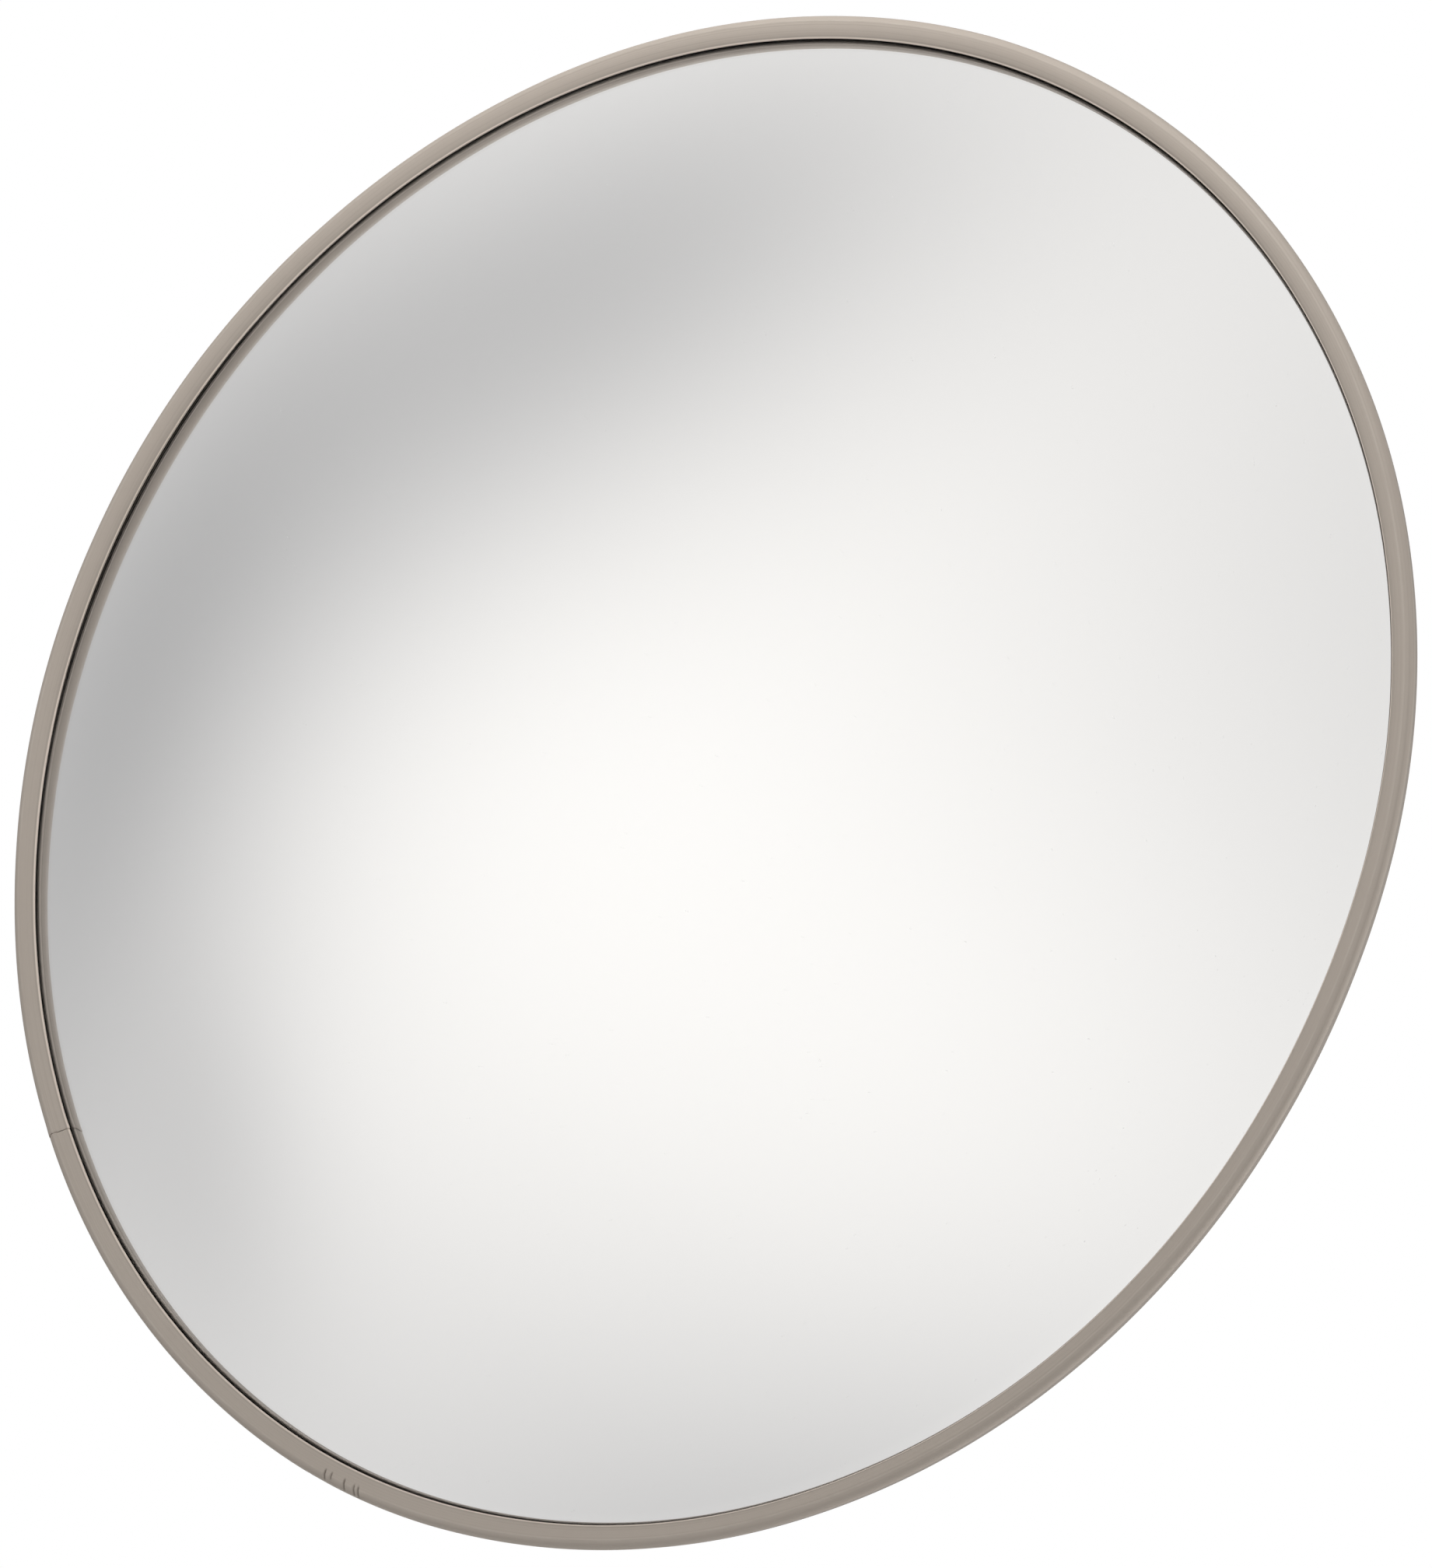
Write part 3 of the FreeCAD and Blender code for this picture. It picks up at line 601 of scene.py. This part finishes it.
theta = trim_angles()
rows, cols = len(theta), len(section)
angle, _ = np.meshgrid(theta, np.arange(cols), indexing="ij")
radius = section[:, 0][None, :] + 0 * angle
depth = section[:, 1][None, :] + 0 * angle
along_s = section_s[None, :]

# push: how far each point moves out along the section's normal, mm
push = np.zeros_like(radius)
push += np.array([die_height(s, kind) for s, kind in zip(section_s, kinds)])[None, :]
rng = np.random.default_rng(41)
for count, per_radian, widths, heights, places, spreads in RANDOM_BUMPS:
    for _ in range(count):
        place = rng.uniform(0, TAU)
        width = rng.uniform(*widths) / per_radian
        height = rng.uniform(*heights)
        place_s = rng.uniform(*places)
        spread_s = rng.uniform(*spreads)
        turn = (angle - place + math.pi) % TAU - math.pi
        push += height * bell(turn, width) * bell(along_s - place_s, spread_s) * soft

creased = np.zeros_like(radius)
for offset, middle_s, length, slant, groove_depth in CREASES:
    around = (angle - CREASE) * TRIM_R - offset
    across = along_s - middle_s
    off_groove = around * math.cos(slant) + across * math.sin(slant)
    along_groove = -around * math.sin(slant) + across * math.cos(slant)
    fade = 1 / (1 + np.exp((np.abs(along_groove) - length / 2) / 0.35))
    groove = bell(off_groove, 0.46) * fade
    ridges = bell(np.abs(off_groove) - 1.05, 0.42) * fade
    push += (-groove_depth * groove + 0.20 * ridges) * soft
    creased = np.maximum(creased, groove * (soft > 0.5))

# at the seam the two cut ends are a little rounded over, and one stands slightly proud
from_start = (angle - theta[0]) * TRIM_R
from_end = (theta[-1] - angle) * TRIM_R
push += -0.34 * bell(from_start, 0.45) * soft - 0.22 * bell(from_end, 0.40) * soft
push += (0.22 * bell(from_end, 4.5) - 0.05 * bell(from_start, 5.0)) * soft
# neither end was cut square or clean
ragged = (0.34 * np.sin(along_s * 0.62 + 0.5) + 0.16 * np.sin(along_s * 1.9)
          + 0.07 * np.sin(along_s * 4.3 + 0.8) + 0.05 * (along_s - 9.0))
outer = on_parts("roll", "face", "lip", "wall", "corner")
cut_angle = angle + (ragged * (bell(from_start, 2.4) + bell(from_end, 2.4))) / TRIM_R * outer

radius = radius + wander(angle) * soft * np.where(on_parts("back_lip", "back", "under"), 0.6, 1.0)
radius = radius + push * normal_r
depth = depth + push * normal_t
# the lip is pulled down a little unevenly on to the mirror, and the face follows it
face_share = np.maximum(0.0, (section_s - CREST_S) / (LIP_S - CREST_S)) ** 2
lip_share = np.where(on_parts("face"), face_share, on_parts("lip") * 1.0)
depth = depth + (0.62 + 0.55 * wander(angle) + 0.05 * np.sin(4 * angle + 0.4)
                 + 0.05 * np.sin(11 * angle + 2.1)) * lip_share
# its underside rests on the mirror sheet, clear of the small round where dome meets flange
on_dome = CENTRE_T - np.sqrt(DOME_R ** 2 - np.minimum(radius, BASE_R) ** 2)
sheet_depth = np.where(radius < BASE_R, on_dome, FLANGE_T)
depth = np.where(on_parts("lip", "under"), np.minimum(depth, sheet_depth - 0.09), depth)

trim = new_object(
    "vinyl_edge_trim",
    np.stack([radius * np.cos(cut_angle), CREST_Y + depth, radius * np.sin(cut_angle)],
             -1).reshape(-1, 3),
    capped_faces(rows, cols),
    uv=np.stack([(angle - SEAM) * TRIM_R * MM, along_s * MM + 0 * angle], -1).reshape(-1, 2))
face_outwards(trim, sharp_deg=55)
# where the crease grooves lie, for the painted shade in the vinyl
crease_shade = trim.data.attributes.new("crease_shade", "FLOAT", "POINT")
crease_shade.data.foreach_set("value", creased.reshape(-1).astype(np.float32))
trim.data.materials.append(make_vinyl(LIP_S * MM, CREST_S * MM))
register(trim, "mirror_head", node="edge_trim")


# ------------------------------------------------------------------ mirror dome
def sphere_t(sphere_r, r):
    return CENTRE_T - math.sqrt(sphere_r ** 2 - r ** 2)


def flange_fillet(sphere_r, flat_t, fillet_r):
    """Start, middle and end of the round between the sphere and the flat at depth flat_t."""
    centre_t = flat_t - fillet_r
    reach = sphere_r + fillet_r
    centre_r = math.sqrt(reach ** 2 - (CENTRE_T - centre_t) ** 2)
    centre = np.array([centre_r, centre_t])
    scale = sphere_r / reach
    on_sphere = (centre_r * scale, CENTRE_T - (CENTRE_T - centre_t) * scale)
    on_flat = (centre_r, flat_t)
    towards = (np.array(on_flat) - centre) + (np.array(on_sphere) - centre)
    return on_sphere, tuple(centre + fillet_r * towards / np.linalg.norm(towards)), on_flat


def dome_profile():
    """(r, y) from the front apex out to the rim and back in behind."""
    front_edge, back_edge = 0.4, 0.2        # chamfers at the rim
    back_r, back_t = DOME_R - SHEET_T, FLANGE_T + SHEET_T
    front_round = flange_fillet(DOME_R, FLANGE_T, fillet_r=2.0)
    back_round = flange_fillet(back_r, back_t, fillet_r=4.0)
    front_radii = np.concatenate([np.linspace(1.5, 400, 74),
                                  np.linspace(404, front_round[0][0], 14)[:-1]])
    profile = [(0.0, sphere_t(DOME_R, 0))]
    profile += [(r, sphere_t(DOME_R, r)) for r in front_radii]
    profile += arc_points(*front_round, 10)
    profile += [(r, FLANGE_T) for r in (front_round[2][0], 450.0, 453.5, SHEET_R - front_edge)]
    profile += [(SHEET_R, FLANGE_T + front_edge), (SHEET_R, back_t - back_edge)]
    profile += [(r, back_t) for r in (SHEET_R - back_edge, 452.0, back_round[2][0])]
    profile += reversed(arc_points(*back_round, 8))
    profile += [(r, sphere_t(back_r, r)) for r in np.linspace(back_round[0][0] - 6, 4, 36)]
    profile.append((0.0, sphere_t(back_r, 0)))
    return [(r, CREST_Y + t) for r, t in profile]


def add_form_waves(mesh):
    """The sheet is drawn over a former, so its curve wanders by hundredths of a millimetre."""
    flat = np.zeros(len(mesh.vertices) * 3)
    mesh.vertices.foreach_get("co", flat)
    points = flat.reshape(-1, 3)
    x, z = points[:, 0], points[:, 2]
    fade_end, fade_width = 0.43, 0.03       # radii in metres
    share = np.clip((fade_end - np.hypot(x, z)) / fade_width, 0, 1)
    waves = (0.045 * np.sin(x * 23 + 1.0) * np.cos(z * 19 - 0.4)
             + 0.03 * np.sin((x + z) * 41 + 2.0))
    points[:, 1] += waves * MM * share
    mesh.vertices.foreach_set("co", points.ravel())
    mesh.update()


dome = revolve(dome_profile(), 540, "mirror_face")
add_form_waves(dome.data)
face_outwards(dome, sharp_deg=50)
dome.data.materials.append(make_acrylic())
dome.data.materials.append(make_silver())
face_normals = np.zeros(len(dome.data.polygons) * 3)
dome.data.polygons.foreach_get("normal", face_normals)
faces_back = face_normals.reshape(-1, 3)[:, 1] > 0.2
dome.data.polygons.foreach_set("material_index", faces_back.astype(np.int32))
register(dome, "mirror_head", node="mirror_dome")

# ------------------------------------------------------------------ bolts and screws
ZINC = make_zinc()
COAT = make_coated()
NYLON = make_nylon()

EAR_IN, EAR_OUT = 22.0, 25.0    # faces of the ears, from the bolt's middle
WASHER_T = 2.0
BOLT_R, BOLT_PITCH = 5.0, 1.5
BOLT_THREAD_FROM = 16.0
BOLT_REACH = 15.6               # from the far washer to the bolt's tip
BOLT_FLATS, BOLT_HEAD_T = 17.0, 6.4

SCREW_X, SCREW_Z = 42.0, 27.0   # the four screws stand at +-x, +-z
SCREW_R, SCREW_PITCH = 3.0, 1.0
SCREW_THREAD_FROM = 4.0
SCREW_HEAD_T = 3.6
SCREW_SEGMENTS = 48
# Pan head: (height above the seat, radius)
SCREW_HEAD = (
    (0.0, 5.9), (0.15, 6.0), (2.0, 6.0), (2.6, 5.8),
    (3.1, 5.3), (3.45, 4.5), (3.58, 3.4), (SCREW_HEAD_T, 2.6),
)


def to_world(points, base, axis):
    """Moves points so that their origin is at base and their +Z is along axis."""
    z = Vector(axis).normalized()
    x = Vector((1, 0, 0)) if abs(z.x) < 0.5 else Vector((0, 0, 1))
    x = (x - z * x.dot(z)).normalized()
    return np.asarray(points) @ np.array([x, z.cross(x), z]) + np.asarray(base)


def ring(radii, angles, z):
    return np.stack([radii * np.cos(angles), radii * np.sin(angles), np.full(len(angles), z)], 1)


def threaded_rod(rod_r, pitch, z_start, z_end, thread_from, segments=72):
    """Rod along +Z with a helical thread from thread_from to its rounded end."""
    plain_end = thread_from - 1.2
    levels = np.array([z_start] + ([plain_end] if plain_end > z_start else [])
                      + list(np.arange(thread_from, z_end - 1e-6, pitch / 12.0)) + [z_end])
    z, around = np.meshgrid(levels, circle_angles(segments), indexing="ij")
    thread_depth = 0.60 * pitch
    phase = (z / pitch - around / TAU) % 1.0
    ridge = np.clip(np.abs(phase - 0.5) * 2 * 1.25 - 0.125, 0, 1)   # 0 at the root, 1 at the crest
    run_in = np.clip((z - thread_from) / (pitch * 1.2), 0, 1)
    tip = np.clip((z_end - z) / (pitch * 0.9), 0, 1)
    crest_r = rod_r - 0.02
    rad = np.minimum(crest_r - thread_depth * (1 - ridge) * run_in,
                     crest_r - thread_depth * 1.05 * (1 - tip))
    verts = np.stack([rad * np.cos(around), rad * np.sin(around), z], -1).reshape(-1, 3)
    return verts, capped_faces(len(levels), segments, flip_caps=True)


def hex_head(flats, height, z_under, segments=120):
    """Hex head below z_under, its outer face turned off at the corners and slightly recessed."""
    around = circle_angles(segments)
    inner_r = flats / 2
    hex_r = inner_r / np.cos((around + math.pi / 6) % (math.pi / 3) - math.pi / 6)
    rings = [ring(inner_r - 0.35, around, z_under)]      # washer face
    side_levels = [0.25, *np.linspace(0.45, height * 0.55, 4),
                   *np.linspace(height * 0.62, height - 0.25, 7), height - 0.06]
    for drop in side_levels:
        cone_r = (inner_r - 0.30) + (height - drop) / math.tan(math.radians(30))
        rings.append(ring(np.minimum(hex_r, cone_r), around, z_under - drop))
    for end_r, drop in ((inner_r - 0.75, height), (inner_r - 1.9, height),
                        (inner_r - 2.3, height - 0.22), (1.2, height - 0.25)):
        rings.append(ring(end_r, around, z_under - drop))
    return np.vstack(rings), capped_faces(len(rings), segments)


def screw_head():
    """Pan head below z = 0 with a cross recess."""
    around = circle_angles(SCREW_SEGMENTS)
    rings = [ring(head_r, around, -height) for height, head_r in SCREW_HEAD]
    from_arm = ((around + math.pi / 4) % (math.pi / 2)) - math.pi / 4
    cross_r = 0.55 + 1.9 * bell(from_arm, 0.24)
    rings.append(ring(cross_r, around, -3.5))
    rings.append(ring(cross_r * 0.55, around, -1.7))
    return np.vstack(rings), capped_faces(len(rings), SCREW_SEGMENTS)


def joined(parts):
    verts, faces, offset = [], [], 0
    for part_verts, part_faces in parts:
        verts.append(part_verts)
        faces += [tuple(i + offset for i in face) for face in part_faces]
        offset += len(part_verts)
    return np.vstack(verts), faces


def bolt(name, node, body, centre, axis):
    """Hex bolt through centre, pointing along axis."""
    far_washer = EAR_OUT + WASHER_T
    verts, faces = joined([
        hex_head(BOLT_FLATS, BOLT_HEAD_T, -far_washer),
        threaded_rod(BOLT_R, BOLT_PITCH, -far_washer - 0.5, far_washer + BOLT_REACH,
                     BOLT_THREAD_FROM),
    ])
    obj = new_object(name, to_world(verts, centre, axis), faces)
    face_outwards(obj, sharp_deg=34)
    obj.data.materials.append(ZINC)
    register(obj, body, node=node)


def bracket_screws():
    """Four screws along +Y, their heads at the -Y end."""
    seat_y = screws_lo[1] / MM + SCREW_HEAD_T
    length = screws_hi[1] / MM - seat_y
    verts, faces = joined([
        screw_head(),
        threaded_rod(SCREW_R, SCREW_PITCH, -0.3, length, SCREW_THREAD_FROM, SCREW_SEGMENTS),
    ])
    screws = [(to_world(verts, (side_x * SCREW_X, seat_y, side_z * SCREW_Z), (0, 1, 0)), faces)
              for side_x in (1, -1) for side_z in (1, -1)]
    obj = new_object("bracket_screws_threaded", *joined(screws))
    face_outwards(obj, sharp_deg=36)
    obj.data.materials.append(ZINC)
    register(obj, "mirror_head", node="bracket_screws")


bolt("pan_bolt_threaded", "pan_bolt", "wall_mount", (0, PAN_Y, 0), (0, 0, -1))
bolt("tilt_bolt_threaded", "tilt_bolt", "mirror_head", (0, TILT_Y, 0), (1, 0, 0))
bracket_screws()


# ------------------------------------------------------------------ wing nuts
def cast_wing_nut(name, node, body):
    """The nut's CAD solid, remeshed and relaxed so that its edges are rounded like a casting's."""
    source = nodes[node].data.copy()
    source.name = name
    source.materials.clear()
    obj = linked(name, source)
    remesh = obj.modifiers.new("remesh", "REMESH")
    remesh.mode = "VOXEL"
    remesh.voxel_size = 0.00042
    relax = obj.modifiers.new("relax", "SMOOTH")
    relax.factor = 0.5
    relax.iterations = 7
    depsgraph = bpy.context.evaluated_depsgraph_get()
    mesh = bpy.data.meshes.new_from_object(obj.evaluated_get(depsgraph))
    obj.modifiers.clear()
    obj.data = mesh
    mesh.name = name
    mesh.polygons.foreach_set("use_smooth", [True] * len(mesh.polygons))
    mesh.materials.clear()
    mesh.materials.append(ZINC)
    register(obj, body, node=node)


cast_wing_nut("pan_wing_nut_cast", "pan_wing_nut", "pan_nut")
cast_wing_nut("tilt_wing_nut_cast", "tilt_wing_nut", "tilt_nut")

# ------------------------------------------------------------------ weld beads
TUBE_R, BARREL_R = 12.5, 14.0
BRACKET_BASE_T = 3.0
BEAD_STAND_OFF = 0.25           # ear beads' centre lines, off the ear and off the base
RIPPLE = 1.9                    # length of one ripple
BEAD_SIDES = 18


def bead(name, path, bead_r, body, closed, seed):
    """A run of weld along a path of points (mm), rippled like stacked coins, slightly uneven."""
    count = len(path)
    if closed:
        tangents = np.roll(path, -1, 0) - np.roll(path, 1, 0)
        gaps = np.linalg.norm(np.roll(path, -1, 0) - path, axis=1)
    else:
        tangents = np.gradient(path, axis=0)
        gaps = np.linalg.norm(np.diff(path, axis=0), axis=1)
        gaps = np.append(gaps, gaps[-1])
    tangents /= np.linalg.norm(tangents, axis=1)[:, None]
    along = np.concatenate([[0], np.cumsum(gaps)[:-1]])
    total = along[-1] + (gaps[-1] if closed else 0)
    ripples = max(4, round(total / RIPPLE))
    around = circle_angles(BEAD_SIDES)
    slow_phase, quick_phase = np.random.default_rng(seed).uniform(0, TAU, 2)
    verts = []
    for point, forward, run in zip(path, tangents, along):
        helper = np.array([0.0, 1.0, 0.0] if abs(forward[1]) < 0.8 else [1.0, 0.0, 0.0])
        side = helper - forward * helper.dot(forward)
        side /= np.linalg.norm(side)
        ripple = (run / total * ripples) % 1.0
        rad = bead_r * (1 + 0.10 * (ripple - 0.5)
                        + 0.05 * math.sin(run / total * TAU * 3 + slow_phase)
                        + 0.03 * math.sin(run * 1.7 + quick_phase))
        if not closed:
            from_tip = min(run, total - run) / (bead_r * 1.3)
            rad *= math.sqrt(max(0.02, 1 - (1 - min(1.0, from_tip)) ** 2))
        verts.append(point + rad * (np.outer(np.cos(around), side)
                                    + np.outer(np.sin(around), np.cross(forward, side))))
    if closed:
        faces = grid_faces(count, BEAD_SIDES, close_rows=True)
    else:
        faces = capped_faces(count, BEAD_SIDES)
    obj = new_object(name, np.vstack(verts), faces)
    face_outwards(obj)
    obj.data.materials.append(COAT)
    register(obj, body)


def barrel_beads():
    """Beads where the arm tube meets the upright rear barrel and the level front barrel."""
    around = circle_angles(420)
    x, z = (TUBE_R + 0.3) * np.cos(around), (TUBE_R + 0.3) * np.sin(around)
    for name, centre_y, towards, off_axis, seed in (
        ("weld_rear_barrel", PAN_Y, -1, x, 3),
        ("weld_front_barrel", TILT_Y, 1, z, 4),
    ):
        rise = np.sqrt((BARREL_R + 0.2) ** 2 - np.minimum(off_axis ** 2, (BARREL_R - 0.1) ** 2))
        path = np.stack([x, centre_y + towards * rise, z], 1)
        bead(name, path, 1.5, "arm", closed=True, seed=seed)


def ear_beads():
    """Beads up both faces of each bracket ear, where it stands on the base."""
    y = bracket_lo[1] / MM + BRACKET_BASE_T + BEAD_STAND_OFF
    seed = 10
    for hand, sign in (("right", 1), ("left", -1)):
        for face, x in (("outer", EAR_OUT + BEAD_STAND_OFF), ("inner", EAR_IN - BEAD_STAND_OFF)):
            path = np.stack([np.full(150, sign * x), np.full(150, y),
                             np.linspace(-28.5, 28.5, 150)], 1)
            bead(f"weld_ear_{hand}_{face}", path, 1.25, "mirror_head", closed=False, seed=seed)
            seed += 1


barrel_beads()
ear_beads()

# ------------------------------------------------------------------ finishes for kept CAD pieces
FINISHES = (
    (COAT, ("wall_plate", "wall_yoke", "rear_barrel", "front_barrel", "arm_tube",
            "head_bracket")),
    (ZINC, ("yoke_rivets", "pan_head_washer", "pan_nut_washer", "tilt_head_washer",
            "tilt_nut_washer", "bracket_lock_washers", "bracket_nuts")),
    (make_mill_steel(), ("reinforcing_plate",)),
    (make_hardboard(), ("backing_board",)),
    (NYLON, ("rear_bush_upper", "rear_bush_lower", "front_bush_left", "front_bush_right")),
)
for finish, names in FINISHES:
    for name in names:
        piece = nodes[name]
        if not piece.material_slots:
            piece.data.materials.append(finish)
        for slot in piece.material_slots:
            slot.link = "OBJECT"
            slot.material = finish


# ------------------------------------------------------------------ floor (metres from here on)
def studio_floor():
    centre_y, floor_z, sides = -0.4, -1.75, 96
    radii = (1.0, 2.0, 4.0, 7.0, 12.0, 20.0)
    verts = [(0.0, centre_y, floor_z)]
    for rad in radii:
        verts += [(rad * math.cos(TAU * i / sides), centre_y + rad * math.sin(TAU * i / sides),
                   floor_z) for i in range(sides)]
    faces = [(0, 1 + i, 1 + (i + 1) % sides) for i in range(sides)]
    for k in range(len(radii) - 1):
        inner, outer = 1 + k * sides, 1 + (k + 1) * sides
        faces += [(inner + i, outer + i, outer + (i + 1) % sides, inner + (i + 1) % sides)
                  for i in range(sides)]
    mesh = bpy.data.meshes.new("studio_floor")
    mesh.from_pydata(verts, [], faces)
    floor = linked("studio_floor", mesh)

    mat = new_material("studio_floor")
    tone = mat.noise(mat.coord(), scale=0.6, detail=2.0)
    # the lamps are set for the object, so the floor is lifted to a pale tone for the camera
    camera_glow = 0.34
    glow = mat.mul(mat.node("ShaderNodeLightPath").outputs["Is Camera Ray"], camera_glow)
    base = mat.mix(tone, low=(0.80, 0.80, 0.80), high=(0.83, 0.83, 0.825))
    mesh.materials.append(mat.finish(
        Base_Color=base, Roughness=0.9, Specular_IOR_Level=0.1,
        Emission_Color=(1.0, 1.0, 0.995, 1.0), Emission_Strength=glow))
    floor.visible_glossy = False
    floor.visible_transmission = False


studio_floor()

# ------------------------------------------------------------------ world
# Broad lobes of light and shade: (azimuth from -Y towards +X, elevation, sharpness, strength)
LOBES = (
    (-14, -53, 3.3, -1.032), (-44, 52, 9.0, -0.535), (-68, -3, 45.0, -0.105),
    (-58, 46, 2.5, 0.617), (-7, -41, 2.9, 0.993), (-83, 28, 7.5, -0.543),
)
BASE_LEVEL, LEAST_LEVEL, MOST_LEVEL = 0.590, 0.30, 1.02


def lobed_light(sky, direction):
    """What reflections see: the base level with the lobes, warmer where it is brighter."""
    total = None
    for azimuth, elevation, sharpness, strength in LOBES:
        az, el = math.radians(azimuth), math.radians(elevation)
        centre = (math.cos(el) * math.sin(az), -math.cos(el) * math.cos(az), math.sin(el))
        fall = sky.calc("SUBTRACT", sky.dot(direction, centre), 1.0)
        lobe = sky.mul(sky.calc("EXPONENT", sky.mul(fall, sharpness)), strength)
        total = lobe if total is None else sky.calc("ADD", total, lobe)
    level = sky.calc("MINIMUM", sky.calc("ADD", total, BASE_LEVEL), MOST_LEVEL)
    level = sky.calc("MAXIMUM", level, LEAST_LEVEL)
    warm_from, warm_gain = 0.45, 2.2        # level where warming starts, and its rate
    warmth = sky.calc("MULTIPLY", sky.calc("SUBTRACT", level, warm_from), warm_gain, clamp=True)
    colour = sky.mix(warmth, low=(1.004, 1.0, 1.004), high=(1.010, 1.0, 0.982))
    return sky.background(sky.scaled_vector(colour, level), strength=1.07)


def even_light(sky, direction):
    """What lights matt surfaces: a smooth level, dimmer above and on the +Y side."""
    level_ahead, per_height = 0.60, -0.30
    behind_gain, behind_dimming = 1.4, 0.58
    height = sky.node("ShaderNodeSeparateXYZ", {0: direction}).outputs[2]
    level = sky.calc("ADD", sky.mul(height, per_height), level_ahead)
    # the +Y side is dim, so that a single lamp there gives the bracket and arm their form
    towards_back = sky.node("ShaderNodeSeparateXYZ", {0: direction}).outputs[1]
    behind = sky.calc("MULTIPLY", towards_back, behind_gain, clamp=True)
    level = sky.mul(level, sky.calc("SUBTRACT", 1.0, sky.mul(behind, behind_dimming)))
    return sky.background(sky.scaled_vector((1.006, 1.0, 0.992), level))


def soft_studio():
    world = bpy.data.worlds.new("soft_studio")
    bpy.context.scene.world = world
    sky = Shader(world, "ShaderNodeOutputWorld")
    generated = sky.node("ShaderNodeTexCoord").outputs["Generated"]
    direction = sky.node("ShaderNodeVectorMath", {0: generated}, operation="NORMALIZE").outputs[0]
    lobed = lobed_light(sky, direction)
    even = even_light(sky, direction)
    white = sky.background((1.0, 1.0, 1.0, 1.0))
    ray = sky.node("ShaderNodeLightPath").outputs
    light = sky.node("ShaderNodeMixShader", {0: ray["Is Diffuse Ray"], 1: lobed, 2: even})
    shown = sky.node("ShaderNodeMixShader", {0: ray["Is Camera Ray"], 1: light.outputs[0],
                                             2: white})
    sky.tree.links.new(shown.outputs[0], sky.output.inputs[0])


soft_studio()


# ------------------------------------------------------------------ lights and camera
def aim_at(obj, location, target):
    obj.location = location
    obj.rotation_euler = (Vector(target) - Vector(location)).to_track_quat("-Z", "Y").to_euler()


def disk_light(name, location, target, size, power):
    """Round area lamp that is seen neither directly nor in reflections."""
    light = bpy.data.lights.new(name, "AREA")
    light.shape = "DISK"
    light.size = size
    light.energy = power
    obj = linked(name, light)
    aim_at(obj, location, target)
    obj.visible_glossy = False
    obj.visible_transmission = False
    obj.visible_camera = False


mirror_middle = (0.0, CREST_Y * MM, 0.0)
disk_light("key_top_front", location=(0.20, -1.25, 0.85), target=(0.0, -0.37, 0.25),
           size=0.8, power=8.75)
disk_light("fill_right", location=(2.8, -1.6, 0.2), target=mirror_middle, size=2.0, power=2.6)
disk_light("back_key", location=(-1.5, 2.2, 1.7), target=(0, -0.2, 0), size=0.8, power=95)
disk_light("side_fill_low", location=(2.3, 0.9, -1.0), target=mirror_middle, size=1.6, power=28)

camera_data = bpy.data.cameras.new("camera")
camera_data.sensor_width = 36.0
camera_data.lens = 131.385
camera_data.clip_end = 100.0
camera = linked("camera", camera_data)
aim_at(camera, location=(1.5235, -3.0849, -1.0871), target=(0.01970, -0.35009, -0.01463))
bpy.context.scene.camera = camera
bpy.context.scene.view_settings.view_transform = "Standard"
